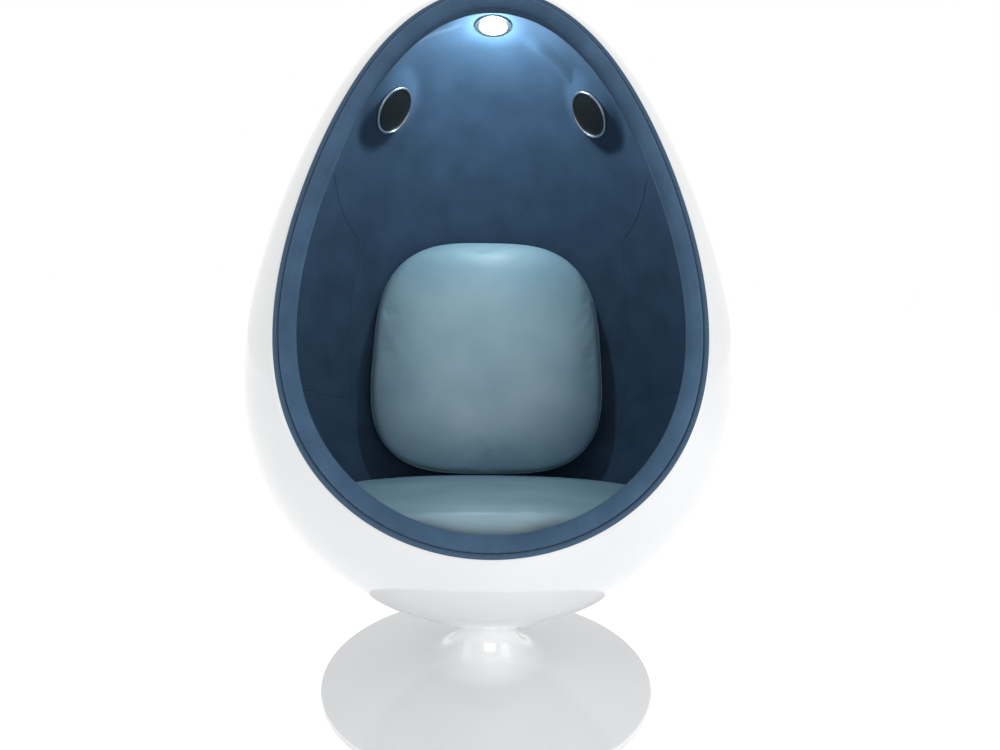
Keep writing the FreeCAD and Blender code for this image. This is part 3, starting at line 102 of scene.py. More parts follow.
def smooth_step(value: Array, low: float, high: float) -> Array:
    """Rises smoothly from 0 to 1 as a value goes from low to high."""
    part = np.clip((value - low) / (high - low), 0, 1)
    return part * part * (3 - 2 * part)


def smooth_through(values: Array, fine: Array) -> Array:
    """Draws a cubic, or less where there are few values, near values at even places from 0 to 1.

    Args:
        values: The values, at even places.
        fine: The places to read, from 0 to 1.

    Returns:
        The values there.
    """
    place = np.linspace(0, 1, len(values))
    factors = np.polynomial.polynomial.polyfit(place, values, min(3, len(place) - 1))
    return np.polynomial.polynomial.polyval(fine, factors)


def even_loop(points: Array, count: int) -> Array:
    """Shares a closed loop of points out into equal lengths.

    Args:
        points: The loop, without its first point repeated.
        count: The number of points wanted.

    Returns:
        Points at equal steps of the loop's length.
    """
    closed = np.vstack([points, points[:1]])
    travelled = np.concatenate([[0.0], np.cumsum(np.linalg.norm(np.diff(closed, axis=0), axis=1))])
    wanted = np.linspace(0, travelled[-1], count, endpoint=False)
    return np.stack([np.interp(wanted, travelled, closed[:, axis]) for axis in range(3)], axis=1)


# ---- The egg's form, shared by every piece that lies on it ----


@dataclass(frozen=True)
class EggForm:
    """The egg's outline and its place; every number is a length in metres, an angle or a plain factor."""

    radius: float = 0.430
    length: float = 1.118
    factors: tuple[float, ...] = (1.0, -0.2624, 0.0369, 0.1426, -0.0253)
    lean: float = math.radians(10.8)
    ground_gap: float = 0.156
    opening_forward: float = 0.3045
    opening_height: float = 0.431
    opening_tilt: float = math.radians(11.4)
    opening_middle: float = 0.11
    samples: int = 4001

    def outline(self, depth: float) -> tuple[Array, Array]:
        """Gives the outline a depth under the skin.

        The radius is the sine of the turn times a polynomial of minus its cosine, scaled to the widest
        radius, and each point is moved inwards along the outline's normal.

        Args:
            depth: How far under the skin, in metres.

        Returns:
            The heights along the axis and the radii there, from the bottom pole to the top.
        """
        turn = np.linspace(0.0, math.pi, self.samples)
        along = -np.cos(turn)
        radius = np.sin(turn) * np.polynomial.polynomial.polyval(along, self.factors)
        radius *= self.radius / radius.max()
        height = self.length * (1 + along) / 2
        out_r = np.gradient(height, turn)
        out_z = -np.gradient(radius, turn)
        size = np.hypot(out_r, out_z)
        return height - depth * out_z / size, radius - depth * out_r / size

    def radius_at(self, height: Array, depth: float) -> Array:
        """Reads the radius of a layer at heights of the axis; it is negative beyond the poles."""
        heights, radii = self.outline(depth)
        return np.interp(height, heights, radii, left=-1.0, right=-1.0)

    def seat_height(self) -> tuple[float, float]:
        """Gives how far back and up the egg's bottom pole stands, with its lowest point on the axis.

        Returns:
            The two distances in metres.
        """
        height, radius = self.outline(0.0)
        stands = height * math.cos(self.lean) - radius * math.sin(self.lean)
        lowest = int(np.argmin(stands[: self.samples // 2]))
        back = -(radius[lowest] * math.cos(self.lean) + height[lowest] * math.sin(self.lean))
        return back, self.ground_gap - stands[lowest]

    def to_world(self, points: Array) -> Array:
        """Turns points of the egg's frame by the lean and sets them on the base.

        Args:
            points: Points of the egg's frame, in metres.

        Returns:
            The same points in the world.
        """
        back, up = self.seat_height()
        turned = np.array(points, dtype=float)
        cosine, sine = math.cos(self.lean), math.sin(self.lean)
        turned[..., 1] = points[..., 1] * cosine + points[..., 2] * sine + back
        turned[..., 2] = points[..., 2] * cosine - points[..., 1] * sine + up
        return turned

    def to_egg(self, points: Array) -> Array:
        """Turns points of the world back into the egg's frame.

        Args:
            points: Points of the world, in metres.

        Returns:
            The same points in the egg's frame.
        """
        back, up = self.seat_height()
        cosine, sine = math.cos(self.lean), math.sin(self.lean)
        far, high = points[..., 1] - back, points[..., 2] - up
        return np.stack([points[..., 0], far * cosine - high * sine, far * sine + high * cosine], axis=-1)

    def plane_axes(self) -> tuple[Array, Array, Array]:
        """Gives a point of the opening's plane, its upward direction and its forward direction.

        Returns:
            The point and the two directions.
        """
        origin = np.array([0.0, -self.opening_forward, self.opening_height])
        up = np.array([0.0, math.sin(self.opening_tilt), math.cos(self.opening_tilt)])
        forward = np.array([0.0, -math.cos(self.opening_tilt), math.sin(self.opening_tilt)])
        return origin, up, forward

    def reach(self, start: Array, ways: Array, depth: float) -> Array:
        """Finds where rays leave a layer of the egg, by halving the distance.

        Args:
            start: The rays' common start or their starts, inside the layer.
            ways: Their unit directions.
            depth: The layer's depth under the skin.

        Returns:
            The distance along each ray.
        """
        heights, radii = self.outline(depth)
        near = np.zeros(ways.shape[:-1])
        far = np.full(ways.shape[:-1], LONGEST_RAY)
        for _ in range(HALVINGS):
            middle = (near + far) / 2
            point = start + ways * middle[..., None]
            limit = np.interp(point[..., 2], heights, radii, left=-1.0, right=-1.0)
            inside = np.hypot(point[..., 0], point[..., 1]) < limit
            near = np.where(inside, middle, near)
            far = np.where(inside, far, middle)
        return (near + far) / 2

    def rim(self, count: int, depth: float = 0.0) -> tuple[Array, Array]:
        """Gives the closed line where a layer meets the opening's plane.

        Args:
            count: The number of points, evenly spread over its length.
            depth: The layer's depth under the skin.

        Returns:
            The points, from the lowest round, and the unit directions in the plane that point inwards.
        """
        origin, up, forward = self.plane_axes()
        centre = origin + up * self.opening_middle
        angle = full_turn(6 * count) - math.pi / 2
        ways = np.cos(angle)[:, None] * np.array([1.0, 0.0, 0.0]) + np.sin(angle)[:, None] * up
        points = even_loop(centre + ways * self.reach(centre, ways, depth)[:, None], count)
        inwards = np.cross(forward, loop_ways(points))
        inwards *= np.sign(np.sum(inwards * (centre - points), axis=1))[:, None]
        return points, inwards

    def spot(self, azimuth: float, height: float, depth: float) -> tuple[Array, Array]:
        """Gives a point of a layer and a 3 x 3 frame there whose last row points into the cavity.

        Args:
            azimuth: The turn about the axis from straight ahead, in degrees.
            height: The height along the egg's axis, in metres.
            depth: The layer's depth under the skin, in metres.

        Returns:
            The point and the frame, as rows across, along and inwards.
        """
        heights, radii = self.outline(depth)
        index = int(np.argmin(np.abs(heights - height)))
        beside = [index + 5, index - 5]
        slope = unit(np.array([np.subtract(*radii[beside]), np.subtract(*heights[beside])]))
        across = math.radians(azimuth)
        outwards = np.array([math.sin(across), -math.cos(across), 0.0])
        inwards = -outwards * slope[1] + np.array([0.0, 0.0, slope[0]])
        side = np.array([math.cos(across), math.sin(across), 0.0])
        return (outwards * radii[index] + np.array([0.0, 0.0, heights[index]]),
                np.stack([side, np.cross(inwards, side), inwards]))


EGG = EggForm()
CAVITY_CENTRE = np.array([0.0, 0.02, 0.50])


# ---- Meshes from grids of points ----


def grid_piece(name: str, rows: Array, uv: Array | None = None, round_rows: bool = False) -> Piece:
    """Makes a closed mesh from a grid whose columns run round the piece.

    Each row is joined to the next, and each row to itself at its ends. The first and the last row are
    drawn together into one point each, unless the rows run round as well, as on a ring.

    Args:
        name: The piece's name.
        rows: An array of rows by columns by three, in world metres.
        uv: Optional rows by columns by two values for the piece's own UV map.
        round_rows: Whether the last row is joined to the first.

    Returns:
        The new object, shaded smooth, with its faces pointing outwards.
    """
    count, columns = rows.shape[:2]
    points = rows.reshape(-1, 3)
    row = np.arange(count if round_rows else count - 1)[:, None]
    column = np.arange(columns)
    next_row, next_column = (row + 1) % count, (column + 1) % columns
    pairs = ((row, column), (row, next_column), (next_row, next_column), (next_row, column))
    quads = np.stack([(down * columns + over).ravel() for down, over in pairs], axis=1)
    mesh = bpy.data.meshes.new(name)
    mesh.from_pydata(points.tolist(), [], quads.tolist())
    if uv is not None:
        layer = mesh.uv_layers.new(name="UVMap")
        corners = np.empty(len(mesh.loops), dtype=np.int32)
        mesh.loops.foreach_get("vertex_index", corners)
        layer.data.foreach_set("uv", uv.reshape(-1, 2)[corners].astype(np.float32).ravel())
    work = bmesh.new()
    work.from_mesh(mesh)
    bmesh.ops.remove_doubles(work, verts=work.verts, dist=1e-6)
    bmesh.ops.dissolve_degenerate(work, edges=work.edges, dist=1e-7)
    bmesh.ops.recalc_face_normals(work, faces=work.faces)
    for face in work.faces:
        face.smooth = True
    work.to_mesh(mesh)
    work.free()
    mesh.validate()
    piece = bpy.data.objects.new(name, mesh)
    bpy.context.scene.collection.objects.link(piece)
    return piece


def turned_rows(profile: Sequence[tuple[float, float]], columns: int) -> Array:
    """Turns a profile of (radius, height) about the Z axis.

    Args:
        profile: The profile's points in metres, starting and ending on the axis or closing on itself.
        columns: The number of points round the axis.

    Returns:
        The grid of rows by columns by three.
    """
    outline = np.asarray(profile, dtype=float)
    angle = full_turn(columns)
    radius, height = outline[:, :1], outline[:, 1:]
    return np.stack([radius * np.cos(angle), radius * np.sin(angle), height + 0 * angle], axis=2)


def softened(profile: Sequence[tuple[float, float]], radius: float, steps: int = 5) -> list[tuple]:
    """Rounds a profile's inner corners with arcs drawn as quadratic curves.

    Args:
        profile: The profile's corners.
        radius: How far from each corner the rounding starts.
        steps: Points on each rounded corner.

    Returns:
        The profile with its corners rounded; its two ends stay.
    """
    corners = np.asarray(profile, dtype=float)
    result = [tuple(corners[0])]
    for before, corner, after in zip(corners, corners[1:], corners[2:]):
        back, ahead = before - corner, after - corner
        first, last = (corner + way * min(radius, np.linalg.norm(way) * 0.48) / max(np.linalg.norm(way), 1e-9)
                       for way in (back, ahead))
        for part in np.linspace(0, 1, steps):
            point = first * (1 - part) ** 2 + 2 * corner * part * (1 - part) + last * part ** 2
            result.append(tuple(point))
    return result + [tuple(corners[-1])]


def swept_rows(path: Array, across: Array, lift: Array, section: Array) -> Array:
    """Carries a closed section along a path.

    Args:
        path: The path's points.
        across: A direction at each point, along the section's first value.
        lift: A direction at each point, along its second value.
        section: The section's points as (across, lift), or one set of them for each path point.

    Returns:
        The grid of path points by section points by three.
    """
    if section.ndim == 2:
        section = np.broadcast_to(section, (len(path),) + section.shape)
    return path[:, None] + across[:, None] * section[..., :1] + lift[:, None] * section[..., 1:]


def round_section(across: float, lift: float, count: int = 10) -> Array:
    """Gives a bead's section: an ellipse with these half axes."""
    turn = full_turn(count)
    return np.stack([across * np.cos(turn), lift * np.sin(turn)], axis=1)


# ---- Materials ----


def linear(text: str) -> tuple[float, ...]:
    """Turns an sRGB hex colour into the linear values that a shader takes."""
    parts = [int(text[index:index + 2], 16) / 255 for index in (1, 3, 5)]
    return tuple(c / 12.92 if c <= 0.04045 else ((c + 0.055) / 1.055) ** 2.4 for c in parts) + (1.0,)


def fill_inputs(tree: bpy.types.NodeTree, node: bpy.types.Node, inputs: dict) -> None:
    """Gives a node its inputs: a value is written in, and a socket is linked.

    Args:
        tree: The node tree.
        node: The node.
        inputs: Input names or numbers with their values or sockets.
    """
    for key, value in inputs.items():
        if isinstance(value, bpy.types.NodeSocket):
            tree.links.new(value, node.inputs[key])
        else:
            node.inputs[key].default_value = value


def add_node(tree: bpy.types.NodeTree, kind: str, inputs: dict | None = None,
             stops: Sequence[tuple[float, str]] = (), **settings: object) -> bpy.types.Node:
    """Adds a node with its settings, values and links.

    Args:
        tree: The node tree.
        kind: The node's type, without its ShaderNode prefix.
        inputs: Input names or numbers with a value, or with the socket to link.
        stops: The places and hex colours of a colour ramp's two stops.
        **settings: The node's own properties.

    Returns:
        The new node.
    """
    node = tree.nodes.new("ShaderNode" + kind)
    for key, value in settings.items():
        setattr(node, key, value)
    fill_inputs(tree, node, inputs or {})
    for index, (place, colour) in enumerate(stops):
        node.color_ramp.elements[index].position = place
        node.color_ramp.elements[index].color = linear(colour)
    return node


def seen_rays(tree: bpy.types.NodeTree) -> Socket:
    """Tells the rays that show a thing from those that light surfaces: the largest of three ray flags.

    Args:
        tree: The node tree.

    Returns:
        The socket that is 1 on those rays and 0 on the others.
    """
    path = add_node(tree, "LightPath").outputs
    direct = {0: path["Is Camera Ray"], 1: path["Is Glossy Ray"]}
    seen = add_node(tree, "Math", direct, operation="MAXIMUM")
    every = {0: seen.outputs[0], 1: path["Is Transmission Ray"]}
    return add_node(tree, "Math", every, operation="MAXIMUM").outputs[0]


class Surface:
    """A material under construction: its tree, its shader and its object coordinates."""

    def __init__(self, name: str) -> None:
        """Starts the material.

        Args:
            name: The material's name.
        """
        self.material = bpy.data.materials.new(name)
        self.material.use_nodes = True
        self.tree = self.material.node_tree
        self.shader = self.tree.nodes["Principled BSDF"]
        self.place = add_node(self.tree, "TexCoord").outputs["Object"]

    def add(self, kind: str, inputs: dict, **settings: object) -> Socket:
        """Adds a node and returns its first output, with add_node's own arguments."""
        return add_node(self.tree, kind, inputs, **settings).outputs[0]

    def finished(self, inputs: dict[str, object]) -> Material:
        """Gives the shader its values and patterns and hands the material over."""
        fill_inputs(self.tree, self.shader, inputs)
        return self.material


@dataclass(frozen=True)
class GelCoat:
    """Gel coat over glass-reinforced plastic, moulded and buffed: deep gloss with a faint ripple."""

    name: str = "gelcoat_white"
    colour: str = "#edeeef"
    shade: str = "#e6e8ea"
    roughness: float = 0.10
    ripple_mm: float = 38.0

    def make(self) -> Material:
        """Builds the material: a slow ripple of the mould and a very light clouding of the white.

        Returns:
            The material.
        """
        surface = Surface(self.name)
        cloud = surface.add("TexNoise", {"Vector": surface.place, "Scale": 4.0})
        white = surface.add("ValToRGB", {0: cloud}, stops=((0.3, self.shade), (0.7, self.colour)))
        scale = 1 / (self.ripple_mm * MM)
        ripple = surface.add("TexNoise", {"Vector": surface.place, "Scale": scale, "Detail": 1.0})
        relief = surface.add("Bump", {"Strength": 0.35, "Distance": 0.08 * MM, "Height": ripple})
        return surface.finished({"Base Color": white, "Normal": relief, "Roughness": self.roughness,
                                 "IOR": 1.5, "Coat Weight": 0.5, "Coat Roughness": 0.04})


@dataclass(frozen=True)
class Felt:
    """Pressed wool-blend felt: short fibres that scatter light and show a soft edge glow.

    Real fibres are far finer than fibre_mm, which is as coarse as they need to be to show.
    """

    name: str = "felt_navy"
    dark: str = "#2b3e52"
    light: str = "#3c526b"
    fibre_mm: float = 1.6
    patch_mm: float = 60.0
    sheen: float = 0.35

    def make(self) -> Material:
        """Builds the material: matted fibres in two sizes and slow patches of brushed nap.

        Returns:
            The material.
        """
        surface = Surface(self.name)
        fine, slow = 1 / (self.fibre_mm * MM), 1 / (self.patch_mm * MM)
        short = {"Vector": surface.place, "Scale": fine, "Detail": 4.0, "Roughness": 0.7}
        fibre = surface.add("TexNoise", short)
        patch = surface.add("TexNoise", {"Vector": surface.place, "Scale": slow, "Detail": 3.0})
        both = surface.add("Math", {0: fibre, 1: patch}, operation="ADD")
        half = surface.add("Math", {0: both, 1: 0.5}, operation="MULTIPLY")
        blue = surface.add("ValToRGB", {0: half}, stops=((0.32, self.dark), (0.68, self.light)))
        relief = surface.add("Bump", {"Strength": 0.6, "Distance": 0.5 * MM, "Height": fibre})
        return surface.finished({"Base Color": blue, "Normal": relief, "Roughness": 0.92,
                                 "Specular IOR Level": 0.2, "Sheen Weight": self.sheen,
                                 "Sheen Roughness": 0.5, "Sheen Tint": linear("#7f93b5")})


@dataclass(frozen=True)
class Leatherette:
    """Polyurethane leatherette, embossed: a fine pebble grain under a satin topcoat.

    Real pebbles are a little finer than grain_mm, which is as coarse as they need to be to show.
    """

    name: str = "leatherette_blue"
    dark: str = "#809fae"
    light: str = "#97b3bf"
    grain_mm: float = 1.4
    roughness: float = 0.48

    def make(self) -> Material:
        """Builds the material: cell-shaped grain, slow creases and a slight change of tone.

        Returns:
            The material.
        """
        surface = Surface(self.name)
        cells = {"Vector": surface.place, "Scale": 1 / (self.grain_mm * MM)}
        grain = surface.add("TexVoronoi", cells, feature="SMOOTH_F1")
        folds = {"Vector": surface.place, "Scale": 26.0, "Detail": 3.0, "Distortion": 0.6}
        crease = surface.add("TexNoise", folds)
        tone = surface.add("TexNoise", {"Vector": surface.place, "Scale": 7.0})
        blue = surface.add("ValToRGB", {0: tone}, stops=((0.3, self.dark), (0.7, self.light)))
        fine = surface.add("Math", {0: grain, 1: 0.25}, operation="MULTIPLY")
        height = surface.add("Math", {0: fine, 1: crease}, operation="ADD")
        relief = surface.add("Bump", {"Strength": 0.30, "Distance": 0.6 * MM, "Height": height})
        return surface.finished({"Base Color": blue, "Normal": relief, "Roughness": self.roughness,
                                 "IOR": 1.47, "Coat Weight": 0.06, "Coat Roughness": 0.25})


class Brushing(Enum):
    """How a metal's surface was finished: the stretch of its marks and their scale."""

    GROUND = ((1, 1, 14), 180.0)
    CAST = ((1, 1, 1), 420.0)
    SATIN = ((3, 3, 3), 300.0)


@dataclass(frozen=True)
class Metal:
    """A bare or plated metal whose marks come from how it was finished."""

    name: str
    colour: str
    shade: str
    roughness: float
    brushing: Brushing = Brushing.SATIN

    def make(self) -> Material:
        """Builds the material: fine turned lines, a cast skin or a satin haze.

        Returns:
            The material.
        """
        surface = Surface(self.name)
        stretch, scale = self.brushing.value
        drawn = surface.add("Mapping", {"Vector": surface.place, "Scale": stretch})
        mark = surface.add("TexNoise", {"Vector": drawn, "Scale": scale, "Detail": 3.0})
        grey = surface.add("ValToRGB", {0: mark}, stops=((0.3, self.shade), (0.7, self.colour)))
        relief = surface.add("Bump", {"Strength": 0.4, "Distance": 0.05 * MM, "Height": mark})
        return surface.finished({"Base Color": grey, "Normal": relief, "Metallic": 1.0,
                                 "Roughness": self.roughness})


@dataclass(frozen=True)
class Moulded:
    """A moulded or coated surface: plastic, rubber, lacquer, foam or board, told by its numbers."""

    name: str
    colour: str
    shade: str
    roughness: float
    grain_mm: float = 0.8
    depth_mm: float = 0.05

    def make(self) -> Material:
        """Builds the material: an even grain that shades and lifts the surface.

        Returns:
            The material.
        """
        surface = Surface(self.name)
        scale = 1 / (self.grain_mm * MM)
        grain = surface.add("TexNoise", {"Vector": surface.place, "Scale": scale, "Detail": 3.0})
        colour = surface.add("ValToRGB", {0: grain}, stops=((0.3, self.shade), (0.7, self.colour)))
        relief = surface.add("Bump", {"Strength": 0.5, "Distance": self.depth_mm * MM, "Height": grain})
        return surface.finished({"Base Color": colour, "Normal": relief, "Roughness": self.roughness})


@dataclass(frozen=True)
class Plywood:
    """Birch plywood, sanded: long pale grain with faint darker lines."""

    name: str = "birch_plywood"

    def make(self) -> Material:
        """Builds the material: noise drawn out along the board.

        Returns:
            The material.
        """
        surface = Surface(self.name)
        drawn = surface.add("Mapping", {"Vector": surface.place, "Scale": (4.0, 90.0, 90.0)})
        grain = surface.add("TexNoise", {"Vector": drawn, "Scale": 3.0, "Detail": 5.0, "Distortion": 0.4})
        birch = surface.add("ValToRGB", {0: grain}, stops=((0.25, "#b78f5f"), (0.75, "#dcbd92")))
        relief = surface.add("Bump", {"Strength": 0.4, "Distance": 0.1 * MM, "Height": grain})
        return surface.finished({"Base Color": birch, "Normal": relief, "Roughness": 0.65})


@dataclass(frozen=True)
class PerforatedSteel:
    """Black perforated steel over black cloth: round holes in even rows, read from the UV map."""

    name: str = "perforated_steel_black"
    pitch_mm: float = 2.6

    def make(self) -> Material:
        """Builds the material: cells one hole apart, dark and sunk in the middle of each.

        Returns:
            The material.
        """
        surface = Surface(self.name)
        flat = add_node(surface.tree, "TexCoord").outputs["UV"]
        cells = {"Vector": flat, "Scale": 1 / (self.pitch_mm * MM), "Randomness": 0.0}
        hole = surface.add("TexVoronoi", cells, voronoi_dimensions="2D")
        black = surface.add("ValToRGB", {0: hole}, stops=((0.30, "#020203"), (0.42, "#15171a")))
        relief = surface.add("Bump", {"Strength": 0.6, "Distance": 0.4 * MM, "Height": hole})
        return surface.finished({"Base Color": black, "Normal": relief, "Roughness": 0.5})


@dataclass(frozen=True)
class LitLens:
    """Opal acrylic with the lamp on behind it: evenly bright."""

    name: str = "opal_acrylic_lit"
    strength: float = 14.0

    def make(self) -> Material:
        """Builds the material: a milky surface that gives off a cool white light.

        Returns:
            The material.
        """
        surface = Surface(self.name)
        haze = surface.add("TexNoise", {"Vector": surface.place, "Scale": 60.0})
        milk = surface.add("ValToRGB", {0: haze}, stops=((0.2, "#f4f8fb"), (0.8, "#ffffff")))
        return surface.finished({"Base Color": milk, "Emission Color": linear("#eef6ff"),
                                 "Emission Strength": self.strength, "Roughness": 0.4})


def make_finishes() -> Finishes:
    """Builds one material for each material slot of the record.

    Returns:
        The material of each slot.
    """
    black = Moulded("powder_coat_black", "#1b1c1e", "#121314", 0.55, 0.6)
    kinds: dict[str, object] = {
        "shell_gloss": GelCoat(),
        # The base is the shell's white gel coat painted lighter: painted light, standing in for the light that
        # the egg's shadow keeps off the base.
        "base_gloss": GelCoat("gelcoat_white_base_painted_light", "#f6f7f8", "#f1f2f4"),
        "floor_felt": Felt("felt_black", "#141416", "#232427", sheen=0.2),
        "ballast_steel": Metal("black_steel_plate", "#55575a", "#3b3d40", 0.5, Brushing.CAST),
        "zinc_steel": Metal("zinc_plated_steel", "#c3c7cc", "#a9aeb5", 0.32),
        "bearing_steel": Metal("ground_steel", "#d0d2d4", "#b5b8bb", 0.22, Brushing.GROUND),
        "cage_brass": Metal("brass_sheet", "#c9a65c", "#a98743", 0.35),
        "bush_plastic": Moulded("acetal_natural", "#e9e7de", "#dedbd0", 0.45),
        "plywood": Plywood(),
        "lining_foam": Moulded("open_cell_foam", "#d8d4c2", "#c4bfaa", 0.95, 1.5, 0.5),
        "lining_cloth": Felt(),
        "boss_cloth": Felt("felt_navy_boss"),
        # The roll is the lining's navy felt painted lighter: painted light, a lit copy of the lining's felt
        # for the light that falls on the opening's edge.
        "rim_cloth": Felt("felt_navy_rim_painted_light", "#324a61", "#4a6682", sheen=0.45),
        "rim_band": Moulded("woven_edge_tape", "#43607c", "#2f465c", 0.85, 1.2, 0.3),
        "cushion_leather": Leatherette(),
        "speaker_silver": Metal("satin_aluminium_ring", "#e9ebed", "#d6d9db", 0.34),
        "speaker_mesh": PerforatedSteel(),
        "speaker_frame": black,
        "speaker_magnet": Moulded("ferrite_magnet", "#3a3b3d", "#2a2b2d", 0.7),
        "speaker_paper": Moulded("coated_paper_cone", "#1d1d1f", "#131315", 0.85, 2.0, 0.2),
        "speaker_rubber": Moulded("butyl_rubber", "#141415", "#0e0e0f", 0.6),
        "lamp_metal": Metal("satin_aluminium_lamp", "#d3d6d9", "#bcc0c4", 0.3),
        "lamp_diffuser": LitLens(),
        "circuit_board": Moulded("solder_mask_green", "#1e5a38", "#174a2d", 0.35, 1.5),
        "led_phosphor": Moulded("led_phosphor", "#f1e27a", "#e3cf5e", 0.4),
        "amp_black": black,
        "inlet_plastic": Moulded("nylon_black", "#1c1d1f", "#131415", 0.42),
        "lead_jacket": Moulded("flexible_jacket_black", "#1a1a1b", "#111112", 0.5),
    }
    made = {kind: kind.make() for kind in dict.fromkeys(kinds.values())}
    return {slot: made[kind] for slot, kind in kinds.items()}


def dress(piece: Piece, finishes: Finishes, slot: str, body: str, *nodes: str) -> Piece:
    """Gives a piece its slot's finish and its body, and hides the CAD nodes whose look it takes over.

    Args:
        piece: The piece.
        finishes: The material of each slot.
        slot: The slot's name.
        body: The body that it rides.
        *nodes: The CAD nodes whose look it takes over.

    Returns:
        The same piece.
    """
    piece.data.materials.clear()
    piece.data.materials.append(finishes[slot])
    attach(piece, body)
    if nodes:
        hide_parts(*nodes)
    return piece


# ---- Cloth ----


@dataclass(frozen=True)
class ClothPad:
    """Turns a closed shape into a stuffed pad: remesh, inflate as cloth, limit the swelling, smooth."""

    voxel: float
    pressure: float
    cap: float
    frames: int = 20

    def stuff(self, piece: Piece) -> None:
        """Runs the cloth on the piece's own mesh and keeps its result.

        Args:
            piece: A closed, slightly undersized shape.
        """
        scene = bpy.context.scene
        select_only(piece)
        remesh = piece.modifiers.new("remesh", "REMESH")
        remesh.mode = "VOXEL"
        remesh.voxel_size = self.voxel
        bpy.ops.object.modifier_apply(modifier=remesh.name)
        start = read_points(piece.data)
        cloth = piece.modifiers.new("cloth", "CLOTH")
        settings = {"quality": 5, "mass": 0.3, "tension_stiffness": 40, "compression_stiffness": 40,
                    "shear_stiffness": 20, "bending_stiffness": 2.0, "use_pressure": True,
                    "uniform_pressure_force": self.pressure}
        for name, value in settings.items():
            setattr(cloth.settings, name, value)
        cloth.settings.effector_weights.gravity = 0
        cloth.point_cache.frame_start = 1
        cloth.point_cache.frame_end = self.frames
        for frame in range(1, self.frames + 1):
            scene.frame_set(frame)
        graph = bpy.context.evaluated_depsgraph_get()
        result = read_points(piece.evaluated_get(graph).data)
        piece.modifiers.remove(cloth)
        scene.frame_set(1)
        move = result - start
        length = np.linalg.norm(move, axis=1, keepdims=True)
        move *= np.minimum(1.0, self.cap / np.maximum(length, 1e-9))
        write_points(piece.data, start + move)
        smooth = piece.modifiers.new("smooth", "SMOOTH")
        smooth.factor = 0.5
        smooth.iterations = 3
        bpy.ops.object.modifier_apply(modifier=smooth.name)


def select_only(piece: Piece) -> None:
    """Makes a piece the only selected and the active object.

    Args:
        piece: The piece.
    """
    for other in bpy.context.selected_objects:
        other.select_set(False)
    piece.select_set(True)
    bpy.context.view_layer.objects.active = piece


def read_points(mesh: bpy.types.Mesh) -> Array:
    """Reads a mesh's points as an array of n by three.

    Args:
        mesh: The mesh.

    Returns:
        The points.
    """
    values = np.empty(len(mesh.vertices) * 3, dtype=np.float32)
    mesh.vertices.foreach_get("co", values)
    return values.reshape(-1, 3).astype(float)


def write_points(mesh: bpy.types.Mesh, points: Array) -> None:
    """Writes an array of n by three as a mesh's points."""
    mesh.vertices.foreach_set("co", points.astype(np.float32).ravel())
    mesh.update()


def shade_smooth(mesh: bpy.types.Mesh) -> None:
    """Shades every face of a mesh smooth."""
    mesh.polygons.foreach_set("use_smooth", [True] * len(mesh.polygons))
    mesh.update()


# ---- Sub-assemblies ----


@dataclass
class Shell:
    """The glossy egg, open at the front."""

    wall: float = 0.005
    columns: int = 288
    rows: int = 120
    edge_round: float = 0.0012

    def skin(self, depth: float) -> Array:
        """Spreads a layer from its rear pole to the opening.

        Rays leave one point of the cavity. Their angle from straight back grows evenly, row by row, up to
        the angle of the ray through the rim, and each ray ends where it meets the layer.

        Args:
            depth: The layer's depth under the skin.

        Returns:
            The grid of rows by columns by three in the egg's frame.
        """
        edge, _ = EGG.rim(self.columns, depth)
        back = -EGG.plane_axes()[2]
        to_edge = unit(edge - CAVITY_CENTRE)
        turn = np.arccos(np.clip(to_edge @ back, -1, 1))
        aside = unit(to_edge - back * (to_edge @ back)[:, None])
        angle = np.linspace(0, 1, self.rows)[:, None] * turn
        ways = np.cos(angle)[..., None] * back + np.sin(angle)[..., None] * aside
        points = CAVITY_CENTRE + ways * EGG.reach(CAVITY_CENTRE, ways, depth)[..., None]
        points[-1] = edge
        return points

    def build(self, finishes: Finishes) -> Piece:
        """Joins the outer and the inner skin at a softened edge.

        Args:
            finishes: The material of each slot.

        Returns:
            The dressed shell.
        """
        outer = self.skin(0.0)
        inner = self.skin(self.wall)[::-1]
        outer[-1] += (inner[0] - outer[-1]) * self.edge_round / self.wall
        piece = grid_piece("shell_gelcoat", EGG.to_world(np.concatenate([outer, inner])))
        return dress(piece, finishes, "shell_gloss", "pod", "outer_shell")


@dataclass
class Fold:
    """A soft ridge or dip of the lining along a line between two spots of it."""

    start: tuple[float, float]
    finish: tuple[float, float]
    rise: float
    width: float
    fade: float = 0.25

    def height(self, points: Array) -> Array:
        """Gives the ridge's height at points of the lining: a bell across the line, fading at its ends.

        Args:
            points: Points of the lining in the egg's frame.

        Returns:
            The height at each point, in metres.
        """
        ends = [EGG.spot(azimuth, height, LINING_DEPTH)[0] for azimuth, height in (self.start, self.finish)]
        along = ends[1] - ends[0]
        part = np.clip(((points - ends[0]) @ along) / (along @ along), 0, 1)
        gap = np.linalg.norm(points - (ends[0] + part[..., None] * along), axis=-1)
        fade = smooth_step(part, 0.0, self.fade) * (1 - smooth_step(part, 1 - self.fade, 1.0))
        return self.rise * fade * np.exp(-(gap / self.width) ** 2)


